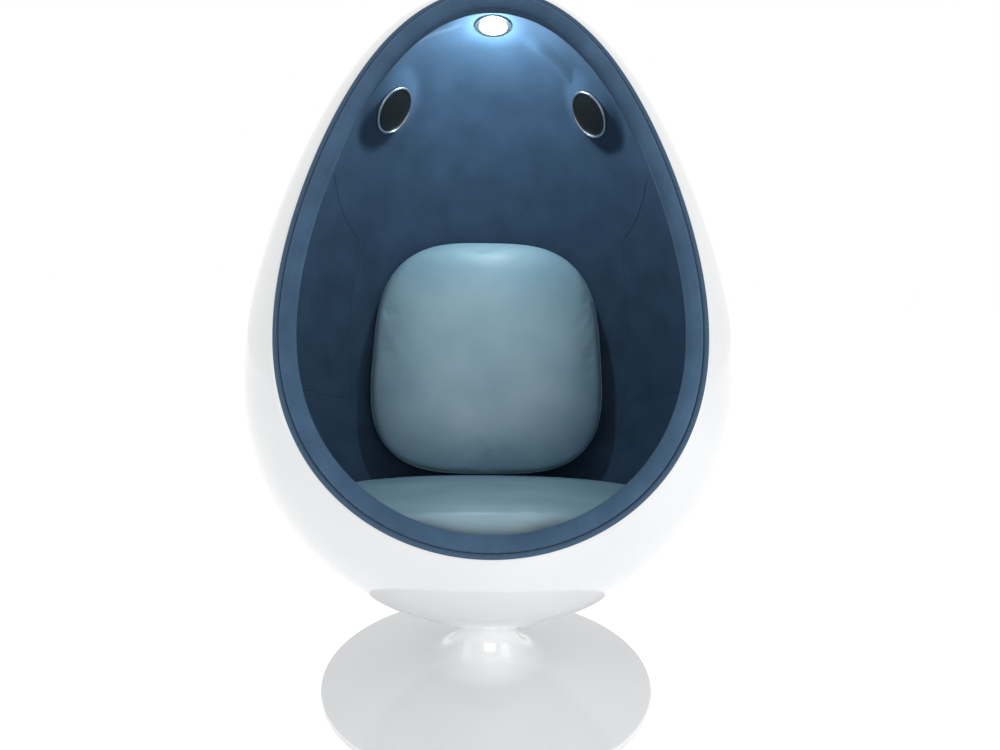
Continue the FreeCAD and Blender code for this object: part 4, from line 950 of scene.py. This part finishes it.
@dataclass
class Lining:
    """The navy cloth of the cavity, with its seams and the folds near the lamp."""

    depth: float = LINING_DEPTH
    thickness: float = 0.0016
    floor: float = 0.1407
    columns: int = 240
    rows: int = 168
    seam_radius: float = 0.0008
    seam_points: int = 90
    seam_flatness: float = 1.6
    seam_taper: float = 30.0
    stitch_swell: float = 0.12
    stitch_turn: float = 1.9
    lip_depth: float = 0.008
    lip_front: float = 0.0002
    lip_back: float = 0.00005
    folds: list[Fold] = field(default_factory=lambda: [
        Fold((112, 1.086), (112, 0.995), 0.011, 0.012),
        Fold((-72, 1.088), (-76, 1.020), 0.009, 0.012),
        Fold((150, 0.98), (150, 0.60), 0.002, 0.030),
        Fold((-150, 0.98), (-150, 0.60), 0.002, 0.030),
    ])

    def layer(self, depth: float) -> Array:
        """Gives the lining's grid at a depth, laid flat where it passes under the seat.

        Args:
            depth: The layer's depth under the skin, in metres.

        Returns:
            The grid of rows by columns by three in the egg's frame.
        """
        points = Shell(columns=self.columns, rows=self.rows).skin(depth)
        lift = sum(fold.height(points) for fold in self.folds)
        points = points + unit(CAVITY_CENTRE - points) * lift[..., None]
        way = points - CAVITY_CENTRE
        to_floor = (self.floor - CAVITY_CENTRE[2]) / np.minimum(way[..., 2], -1e-6)
        share = np.where(points[..., 2] < self.floor, to_floor, 1.0)
        return CAVITY_CENTRE + way * share[..., None]

    def seams(self) -> dict[str, list[tuple[float, float]]]:
        """Lists the seams of both sides as (azimuth, height) spots of the lining.

        Returns:
            The spots by the seam's name.
        """
        spots = {
            "hood": [(97, 0.836), (105, 0.812), (113, 0.785), (124, 0.752)],
            "side": [(104, 0.436), (113, 0.432), (122, 0.425), (131, 0.42)],
            "corner": [(133, 0.26), (132, 0.36), (131, 0.46), (128, 0.60), (124, 0.752)],
        }
        return {f"{name}_seam_{side}": [(sign * azimuth, height) for azimuth, height in line]
                for name, line in spots.items() for side, sign in (("right", 1), ("left", -1))}

    def seam_piece(self, name: str, spots: list[tuple[float, float]], finishes: Finishes) -> Piece:
        """Lays a flat-felled seam on the lining: a low bead with a slight beat at each stitch.

        Args:
            name: The piece's name.
            spots: Its (azimuth, height) spots.
            finishes: The materials.

        Returns:
            The dressed piece.
        """
        fine = np.linspace(0, 1, self.seam_points)
        azimuths, heights = (smooth_through(row, fine) for row in np.array(spots).T)
        line = [EGG.spot(azimuth, height, self.depth) for azimuth, height in zip(azimuths, heights)]
        path = np.array([point for point, _ in line])
        inwards = np.array([axes[2] for _, axes in line])
        across = np.cross(unit(np.gradient(path, axis=0)), inwards)
        taper = np.sqrt(np.clip(np.minimum(fine, 1 - fine) * self.seam_taper, 0.0, 1.0))[:, None, None]
        beat = 1 + self.stitch_swell * np.sin(np.arange(self.seam_points) * self.stitch_turn)[:, None, None]
        section = round_section(self.seam_flatness * self.seam_radius, self.seam_radius)
        rows = swept_rows(path, across, inwards, section[None] * taper * beat)
        return dress(grid_piece(name, EGG.to_world(rows)), finishes, "lining_cloth", "pod")

    def build(self, finishes: Finishes) -> list[Piece]:
        """Builds the cloth, turned outwards over the foam's edge at the opening, and its seams.

        Args:
            finishes: The material of each slot.

        Returns:
            The dressed pieces.
        """
        inner = self.layer(self.depth)
        outer = self.layer(self.depth - self.thickness)[::-1]
        edge, _ = EGG.rim(self.columns, self.lip_depth)
        forward = EGG.plane_axes()[2]
        inner[-1] += forward * self.lip_front
        lip = np.stack([edge + forward * self.lip_front, edge + forward * self.lip_back])
        outer[0] += forward * self.lip_back
        cloth = grid_piece("lining_felt", EGG.to_world(np.concatenate([inner, lip, outer])))
        dress(cloth, finishes, "lining_cloth", "pod", "lining_cover")
        return [cloth] + [self.seam_piece(name, spots, finishes) for name, spots in self.seams().items()]


@dataclass
class Rim:
    """The narrow edge band and the padded roll round the opening."""

    band_start: float = 0.0004
    band_width: float = 0.0088
    band_rise: float = 0.0045
    roll_start: float = 0.0094
    roll_width: float = 0.0242
    roll_rise: float = 0.0118
    band_power: float = 2.6
    roll_power: float = 2.3
    lift: float = 0.0003
    points: int = 420

    def ring(self, name: str, section: Array) -> Piece:
        """Carries one section round the opening's edge and closes the ring.

        Args:
            name: The piece's name.
            section: The section's points as (across, lift).

        Returns:
            The new piece.
        """
        path, inwards = EGG.rim(self.points)
        forward = np.broadcast_to(EGG.plane_axes()[2], path.shape)
        return grid_piece(name, EGG.to_world(swept_rows(path, inwards, forward, section)), round_rows=True)

    def cushion_section(self, start: float, width: float, rise: float, power: float, spans: int) -> Array:
        """Gives a flat-backed section whose front is a superellipse of the given power.

        Args:
            start: Where the section starts, inwards from the edge.
            width: Its width in metres.
            rise: How far it stands proud, in metres.
            power: The superellipse's power: 2 is an ellipse, more is squarer.
            spans: The number of points on its front.

        Returns:
            The section's points as (across, lift).
        """
        turn = np.linspace(0, math.pi, spans)
        across = start + width * (1 - superellipse(np.cos(turn), power)) / 2
        front = np.stack([across, self.lift + rise * superellipse(np.sin(turn), power)], axis=1)
        back = np.stack([np.linspace(start + width, start, 5)[1:-1], np.full(3, self.lift)], axis=1)
        return np.concatenate([front, back])

    def puckered(self, section: Array) -> Array:
        """Gives one section for each point of the rim, with slow swelling and small pulls at the cloth.

        Args:
            section: The section's points as (across, lift).

        Returns:
            The sections, point of the rim by point of the section.
        """
        place = full_turn(self.points)
        swell = 1 + 0.02 * np.sin(7 * place + 0.6) + 0.015 * np.sin(23 * place) + 0.01 * np.sin(61 * place + 2)
        join = 1 - 0.10 * np.exp(-((np.minimum(place, 2 * math.pi - place) - 0.02) / 0.006) ** 2)
        many = np.repeat(section[None], self.points, axis=0)
        many[..., 1] = self.lift + (many[..., 1] - self.lift) * (swell * join)[:, None]
        return many

    def build(self, finishes: Finishes) -> list[Piece]:
        """Builds the band and the roll.

        Args:
            finishes: The material of each slot.

        Returns:
            The dressed pieces.
        """
        section = self.cushion_section(self.band_start, self.band_width, self.band_rise, self.band_power, 15)
        band = self.ring("rim_edge_band", section)
        dress(band, finishes, "rim_band", "pod", "rim_band")
        section = self.cushion_section(self.roll_start, self.roll_width, self.roll_rise, self.roll_power, 25)
        roll = self.ring("rim_padded_roll", self.puckered(section))
        dress(roll, finishes, "rim_cloth", "pod", "rim_roll")
        return [band, roll]


@dataclass
class SeatCushion:
    """The pad that fills the bowl, cut straight at the front."""

    bottom: float = 0.1430
    top: float = 0.254
    dome: float = 4.5
    front: float = 0.308
    skew: float = 0.05
    side_depth: float = 0.029
    shoulder: float = 0.030
    corner_power: float = 26.0
    bulge: float = 0.004
    bottom_inset: float = 0.004
    dome_sample: float = 0.06
    front_sharpness: float = 0.55
    columns: int = 240

    def plan(self, azimuth: Array, height: Array) -> Array:
        """Gives how far the pad reaches: the smaller of the bowl's radius and the front, blended.

        Args:
            azimuth: The turn about the axis from straight ahead, in radians.
            height: The height of each point along the egg's axis.

        Returns:
            The distance from the axis, in metres.
        """
        bowl = np.maximum(EGG.radius_at(height, self.side_depth), 0.01)
        front = self.front / np.maximum(np.cos(azimuth - self.skew), 0.02)
        return (bowl ** -self.corner_power + front ** -self.corner_power) ** (-1 / self.corner_power)

    def dome_height(self, reach: Array) -> Array:
        """Gives the top's height at distances from the axis."""
        return self.top - self.dome + np.sqrt(self.dome ** 2 - reach ** 2)

    def rows(self) -> Array:
        """Works the pad out as rings.

        The bottom rings shrink to the middle, the side rings follow the bowl and the front, a quarter of
        an ellipse rounds the shoulder, and the top rings follow a low dome.

        Returns:
            The grid of rings by columns by three in the egg's frame.
        """
        azimuth = full_turn(self.columns)
        facing = np.maximum(np.cos(azimuth), 0) ** 6
        shoulder = self.shoulder * (1 - self.front_sharpness * facing)
        low = np.full(self.columns, self.bottom)
        inset = self.plan(azimuth, low + self.bottom_inset) - self.bottom_inset
        rings = [(share * inset, low) for share in np.linspace(0, 1, 14)]
        edge_top = self.dome_height(self.plan(azimuth, low + self.dome_sample))
        for share in np.linspace(0.04, 1, 12):
            height = low + (edge_top - shoulder - low) * share
            rings.append((self.plan(azimuth, height) + self.bulge * np.sin(math.pi * share) * facing, height))
        last_reach, last_height = rings[-1]
        for turn in np.linspace(0, math.pi / 2, 10)[1:]:
            inwards, up = shoulder * (1 - math.cos(turn)), shoulder * math.sin(turn)
            rings.append((last_reach - inwards, last_height + up))
        last_reach, last_height = rings[-1]
        for share in np.linspace(1, 0, 18)[1:]:
            dome = self.dome_height(last_reach * share)
            rings.append((last_reach * share, np.maximum(dome, last_height * share ** 8)))
        reach, height = np.array(rings).transpose(1, 0, 2)
        return np.stack([reach * np.sin(azimuth), -reach * np.cos(azimuth), height], axis=2)

    def build(self, finishes: Finishes) -> list[Piece]:
        """Builds the pad and stuffs it.

        Args:
            finishes: The material of each slot.

        Returns:
            The dressed pieces.
        """
        pad = grid_piece("seat_pad", EGG.to_world(self.rows()))
        ClothPad(voxel=0.006, pressure=0.5, cap=0.003).stuff(pad)
        shade_smooth(pad.data)
        dress(pad, finishes, "cushion_leather", "pod", "seat_cushion")
        return [pad]


@dataclass
class BackCushion:
    """The loose square cushion that leans on the back of the cavity."""

    width: float = 0.500
    length: float = 0.504
    taper: float = 0.07
    squareness: float = 3.3
    thickness: float = 0.124
    edge_power: float = 2.6
    crown_power: float = 3.2
    centre: tuple[float, float, float] = (-0.004, 0.254, 0.5080)
    welt: float = 0.0017
    columns: int = 200
    rings: int = 41

    def outline(self) -> Array:
        """Gives the seam line: a superellipse whose width shrinks towards the top.

        Returns:
            The loop of points about the cushion's middle.
        """
        turn = full_turn(8 * self.columns) - math.pi / 2
        up = superellipse(np.sin(turn), self.squareness)
        across = superellipse(np.cos(turn), self.squareness) * (1 - self.taper * up)
        points = np.stack([self.width / 2 * across, 0 * up, self.length / 2 * up], axis=1)
        return even_loop(points, self.columns)

    def rows(self) -> Array:
        """Shrinks the seam line towards both crowns: its size and its offset lie on a superellipse.

        Returns:
            The grid of rings by columns by three in the egg's frame.
        """
        turn = np.linspace(-math.pi / 2, math.pi / 2, self.rings)
        scale = np.cos(turn) ** (2 / self.edge_power)
        scale[[0, -1]] = 0.0
        offset = superellipse(np.sin(turn), self.crown_power) * self.thickness / 2
        rows = self.outline()[None] * scale[:, None, None]
        rows[..., 1] = offset[:, None]
        return rows + np.array(self.centre)

    def seam_line(self, pad: Piece) -> Array:
        """Finds the stuffed pad's own edge, so that the welt lies on it.

        Each point of the drawn outline keeps its direction from the centre and takes the largest
        distance that the pad's points reach near that direction, averaged over its neighbours.

        Args:
            pad: The finished pad.

        Returns:
            The seam line about the cushion's centre, in the egg's frame.
        """
        path = self.outline()
        points = EGG.to_egg(read_points(pad.data)) - np.array(self.centre)
        angle = np.arctan2(points[:, 2], points[:, 0])
        reach = np.hypot(points[:, 0], points[:, 2])
        wanted = np.arctan2(path[:, 2], path[:, 0])
        gap = np.abs((angle[None] - wanted[:, None] + math.pi) % (2 * math.pi) - math.pi)
        edge = np.where(gap < 0.03, reach[None], 0.0).max(axis=1)
        share = edge / np.hypot(path[:, 0], path[:, 2])
        share = sum(np.roll(share, step) for step in range(-4, 5)) / 9
        return path * share[:, None]

    def welt_piece(self, pad: Piece, finishes: Finishes) -> Piece:
        """Carries a thin welt along the pad's edge, half sunk into it.

        Args:
            pad: The finished pad.
            finishes: The material of each slot.

        Returns:
            The dressed welt.
        """
        path = self.seam_line(pad)
        lift = np.broadcast_to(np.array([0.0, 1.0, 0.0]), path.shape)
        outwards = np.cross(loop_ways(path), lift)
        outwards *= np.sign(np.sum(outwards * path, axis=1))[:, None]
        section = round_section(self.welt, self.welt)
        rows = swept_rows(path + np.array(self.centre), outwards, lift, section)
        piece = grid_piece("back_pad_welt", EGG.to_world(rows), round_rows=True)
        return dress(piece, finishes, "cushion_leather", "pod")

    def build(self, finishes: Finishes) -> list[Piece]:
        """Builds the pad, stuffs it and adds its welt.

        Args:
            finishes: The material of each slot.

        Returns:
            The dressed pieces.
        """
        pad = grid_piece("back_pad", EGG.to_world(self.rows()))
        ClothPad(voxel=0.005, pressure=1.2, cap=0.006).stuff(pad)
        shade_smooth(pad.data)
        dress(pad, finishes, "cushion_leather", "pod", "back_cushion")
        return [pad, self.welt_piece(pad, finishes)]


class Side(Enum):
    """The side of the cavity that a speaker is on, as the viewer sees it."""

    LEFT = -1
    RIGHT = 1


@dataclass
class Speaker:
    """One speaker: its cloth-covered boss, silver ring and perforated grille."""

    side: Side
    azimuth: float = 109.0
    height: float = 0.976
    boss_top: float = 0.0165
    boss_flat: float = 0.0465
    boss_reach: float = 0.088
    boss_step: float = 0.0420
    boss_wall: float = 0.0015
    bore: float = 0.0367
    ring_outer: float = 0.0455
    ring_inner: float = 0.0412
    ring_flat: float = 0.0440
    ring_hidden: float = 0.0386
    ring_bevel: float = 0.0006
    lip_bevel: float = 0.0004
    ring_round: float = 0.0009
    ring_low: float = 0.0174
    ring_high: float = 0.0226
    ledge_low: float = 0.0184
    ledge_high: float = 0.0196
    grille_radius: float = 0.0411
    grille_edge: float = 0.0206
    grille_dome: float = 0.0012
    grille_wall: float = 0.0008
    ray_start: float = 0.06

    def __post_init__(self) -> None:
        """Finds the speaker's place on the lining, and its name."""
        self.label = self.side.name.lower()
        self.origin, self.axes = EGG.spot(self.side.value * self.azimuth, self.height, LINING_DEPTH)

    def placed(self, rows: Array) -> Array:
        """Moves points of the speaker's own frame, its axis along +Z, into the world."""
        return EGG.to_world(rows @ self.axes + self.origin)

    def lining_level(self, rows: Array) -> Array:
        """Finds how high the lining lies under points of the speaker's frame, by rays along its axis.

        Args:
            rows: Points of the speaker's own frame.

        Returns:
            The height under each point.
        """
        start = np.array(rows)
        start[..., 2] = self.ray_start
        ways = np.broadcast_to(-self.axes[2], start.shape)
        return self.ray_start - EGG.reach(start @ self.axes + self.origin, ways, LINING_DEPTH)

    def boss(self, finishes: Finishes) -> Piece:
        """Builds the boss: cloth that swells from the lining to a flat ring round the speaker.

        Args:
            finishes: The material of each slot.

        Returns:
            The dressed boss.
        """
        flat = [self.ring_outer, self.ring_flat, self.boss_step, self.bore]
        radius = np.concatenate([np.linspace(self.boss_reach, self.boss_flat, 22), flat])
        profile = self.boss_top * (1 - smooth_step(radius, self.boss_flat - 0.002, self.boss_reach))
        rows = turned_rows(list(zip(radius, profile)), 120)
        level = self.lining_level(rows) * smooth_step(radius, self.boss_flat, self.boss_reach)[:, None]
        top = np.array(rows)
        top[..., 2] += level
        under = np.array(rows[::-1])
        under[..., 2] = np.minimum(top[::-1][..., 2] - self.boss_wall, self.lining_level(under))
        rows = self.placed(np.concatenate([top, under]))
        piece = grid_piece(f"speaker_boss_felt_{self.label}", rows, round_rows=True)
        return dress(piece, finishes, "boss_cloth", "pod", f"speaker_boss_{self.label}")

    def bezel(self, finishes: Finishes) -> Piece:
        """Builds the silver ring: a rounded lip with a small step down to the grille.

        Args:
            finishes: The material of each slot.

        Returns:
            The dressed ring.
        """
        corners = [(self.ring_hidden, self.ledge_low), (self.ring_outer, self.ring_low),
                   (self.ring_outer, self.ring_high - self.ring_bevel), (self.ring_flat, self.ring_high),
                   (self.ring_inner + self.lip_bevel, self.ring_high), (self.ring_inner, self.ledge_high),
                   (self.ring_hidden, self.ledge_high)]
        rows = turned_rows(softened(corners, self.ring_round), 128)
        piece = grid_piece(f"speaker_ring_{self.label}", self.placed(rows), round_rows=True)
        return dress(piece, finishes, "speaker_silver", "pod", f"speaker_bezel_{self.label}")

    def grille(self, finishes: Finishes) -> Piece:
        """Builds the grille: a shallow dome whose UV map holds its flat plan in metres.

        Args:
            finishes: The material of each slot.

        Returns:
            The dressed grille.
        """
        radius = np.linspace(0, self.grille_radius, 24)
        top = self.grille_edge + self.grille_dome * (1 - (radius / self.grille_radius) ** 2)
        under = top - self.grille_wall
        rows = turned_rows(list(zip(radius, top)) + list(zip(radius[::-1], under[::-1])), 96)
        piece = grid_piece(f"speaker_grille_{self.label}_mesh", self.placed(rows), uv=rows[..., :2])
        return dress(piece, finishes, "speaker_mesh", "pod", f"speaker_grille_{self.label}")

    def build(self, finishes: Finishes) -> list[Piece]:
        """Builds the boss, the ring and the grille."""
        return [self.boss(finishes), self.bezel(finishes), self.grille(finishes)]


@dataclass
class Base:
    """The trumpet base."""

    outer: float = 0.327
    edge_top: float = 0.013
    bottom: float = 0.003
    slope: float = math.radians(9.2)
    neck: float = 0.0555
    neck_top: float = 0.138
    flare: float = 0.080
    wall: float = 0.005
    edge_round: float = 0.006
    wall_share: float = 0.6

    def profile(self) -> list[tuple[float, float]]:
        """Draws the outside from the neck down, then the inside back up, with arcs at the corners.

        Returns:
            The profile's points as (radius, height).
        """
        rise = (self.outer - self.neck) * math.tan(self.slope)
        corner_z = self.edge_top + rise
        room = self.flare * math.tan((math.pi / 2 - self.slope) / 2)
        centre = (self.neck + self.flare, corner_z + room)
        angles = np.linspace(math.pi, math.pi + math.pi / 2 - self.slope, 40)
        arc = [(centre[0] + self.flare * math.cos(a), centre[1] + self.flare * math.sin(a)) for a in angles]
        foot = (self.outer - self.edge_round, self.edge_top + self.edge_round * math.tan(self.slope))
        shares = np.linspace(0, 1, 30)[1:]
        cone = [tuple(a + (b - a) * share for a, b in zip(arc[-1], foot)) for share in shares]
        corners = [cone[-1], (self.outer, self.edge_top), (self.outer, self.edge_top - self.edge_round)]
        edge = softened(corners, self.edge_round, 9)
        outside = [(self.neck, self.neck_top)] + arc + cone + edge[1:] + [(self.outer, self.bottom)]
        inside = [(self.outer - self.wall, self.bottom)]
        inside += [(max(radius - self.wall * self.wall_share, self.neck - self.wall), height - self.wall)
                   for radius, height in (cone[::-1] + arc[::-1]) if radius < self.outer - self.wall]
        return outside + inside + [(self.neck - self.wall, self.neck_top)]

    def build(self, finishes: Finishes) -> Piece:
        """Builds the trumpet."""
        piece = grid_piece("base_gelcoat", turned_rows(self.profile(), 256), round_rows=True)
        return dress(piece, finishes, "base_gloss", "base", "base_shell")


def dress_frame(frame: dict, finishes: Finishes) -> None:
    """Gives every CAD node the finish of its material slot.

    Args:
        finishes: The material of each slot.
    """
    slots = {entry["node"]: entry["material_slot"] for entry in frame["record"]["subparts"]}
    for node, piece in frame["nodes"].items():
        piece.data.materials.clear()
        piece.data.materials.append(finishes[slots[node]])


# ---- Studio ----


@dataclass
class Studio:
    """The floor, the lamps, the world and the camera."""

    eye: tuple[float, float, float] = (-0.0134, -1.25, 0.7694)
    pitch: float = 0.2229
    yaw: float = -0.0267
    roll: float = 0.0145
    lens: float = 24.54
    shift: float = 0.0675
    floor_half: float = 30.0
    floor_glow: float = 0.62
    world_light: float = 0.55
    lamp_colour: tuple[float, float, float] = (0.78, 0.97, 1.0)

    def placed(self, name: str, data: bpy.types.ID, place: Sequence[float] = (0.0, 0.0, 0.0)) -> Piece:
        """Adds an object of the studio at its place.

        Args:
            name: The object's name.
            data: What the object shows.
            place: Where it stands, in metres.

        Returns:
            The new object.
        """
        made = bpy.data.objects.new(name, data)
        made.location = place
        bpy.context.scene.collection.objects.link(made)
        return made

    def camera(self) -> None:
        """Sets the camera at the photograph's viewing angle."""
        data = bpy.data.cameras.new("camera")
        data.sensor_width = 36.0
        data.lens = self.lens
        data.shift_y = self.shift
        data.clip_start = 0.01
        camera = self.placed("camera", data, self.eye)
        upright = Euler((math.pi / 2 - self.pitch, 0.0, self.yaw)).to_matrix()
        camera.rotation_euler = (upright @ Matrix.Rotation(self.roll, 3, "Z")).to_euler()
        bpy.context.scene.camera = camera

    def softbox(self, name: str, place: Sequence[float], size: tuple[float, float], power: float) -> None:
        """Adds a rectangular area lamp that faces the chair's middle.

        Args:
            name: The lamp's name.
            place: Where it stands, in metres.
            size: Its width and height in metres.
            power: Its power in watts.
        """
        target = Vector((0.0, 0.0, 0.65))
        data = bpy.data.lights.new(name, "AREA")
        data.shape = "RECTANGLE"
        data.size, data.size_y = size
        data.energy = power
        lamp = self.placed(name, data, place)
        lamp.rotation_euler = (target - Vector(place)).to_track_quat("-Z", "Y").to_euler()

    def lamp_glow(self) -> None:
        """Adds the light that the chair's own lamp throws down into the cavity."""
        for name, kind, drop, power in (("lamp_beam", "AREA", 0.034, 1.2), ("lamp_halo", "POINT", 0.060, 1.6)):
            data = bpy.data.lights.new(name, kind)
            data.energy = power
            data.color = self.lamp_colour
            if kind == "AREA":
                data.shape = "DISK"
                data.size = 0.05
            else:
                data.shadow_soft_size = 0.012
            lamp = self.placed(name, data, EGG.to_world(np.array([0.0, 0.0, EGG.length - drop])))
            lamp.rotation_euler = Euler((-EGG.lean, 0.0, 0.0))

    def floor(self) -> None:
        """Lays a pale floor that the camera sees as white, with the object's shadow on it."""
        mesh = bpy.data.meshes.new("studio_floor")
        half = self.floor_half
        corners = [(-half, -half, 0), (half, -half, 0), (half, half, 0), (-half, half, 0)]
        mesh.from_pydata(corners, [], [(0, 1, 2, 3)])
        floor = self.placed("studio_floor", mesh)
        surface = Surface("pale_studio_floor")
        tree, lit = surface.tree, surface.shader.outputs[0]
        glow = add_node(tree, "Emission", {"Color": (1, 1, 1, 1), "Strength": self.floor_glow}).outputs[0]
        both = add_node(tree, "AddShader", {0: lit, 1: glow}).outputs[0]
        mix = add_node(tree, "MixShader", {0: seen_rays(tree), 1: lit, 2: both})
        tree.links.new(mix.outputs[0], tree.nodes["Material Output"].inputs["Surface"])
        mesh.materials.append(surface.finished({"Base Color": linear("#f4f4f4"), "Roughness": 0.9}))

    def world(self) -> None:
        """Sets a soft white surround, shown to the camera and in reflections as plain white."""
        world = bpy.data.worlds.new("studio_world")
        world.use_nodes = True
        bpy.context.scene.world = world
        tree = world.node_tree
        values = {"Value": seen_rays(tree), "To Min": self.world_light, "To Max": 1.0}
        strength = add_node(tree, "MapRange", values)
        background = tree.nodes["Background"]
        background.inputs["Color"].default_value = (1.0, 1.0, 1.0, 1.0)
        tree.links.new(strength.outputs[0], background.inputs["Strength"])

    def build(self) -> None:
        """Builds the whole studio."""
        scene = bpy.context.scene
        scene.view_settings.view_transform = "Standard"
        self.camera()
        self.floor()
        self.world()
        self.softbox("key_softbox", (2.9, -1.5, 1.3), (1.8, 2.0), 18.0)
        self.softbox("front_softbox", (0.5, -3.4, 0.85), (2.6, 1.3), 34.0)
        self.softbox("side_softbox", (-2.9, -1.0, 1.2), (1.6, 2.0), 11.0)
        self.softbox("top_softbox", (0.0, 0.4, 3.2), (2.4, 2.4), 6.0)
        self.lamp_glow()


def main() -> None:
    """Loads the frame, builds every sub-assembly and the studio, and notes the sizes."""
    logging.basicConfig(level=logging.INFO, format="%(name)s: %(message)s")
    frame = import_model()
    finishes = make_finishes()
    dress_frame(frame, finishes)
    built = [Shell().build(finishes), Base().build(finishes)]
    for part in (Lining(), Rim(), SeatCushion(), BackCushion(), *(Speaker(side) for side in Side)):
        built += part.build(finishes)
    for piece in built:
        LOG.info("%s: %d faces", piece.name, len(piece.data.polygons))
    Studio().build()


if __name__ == "__main__":
    main()
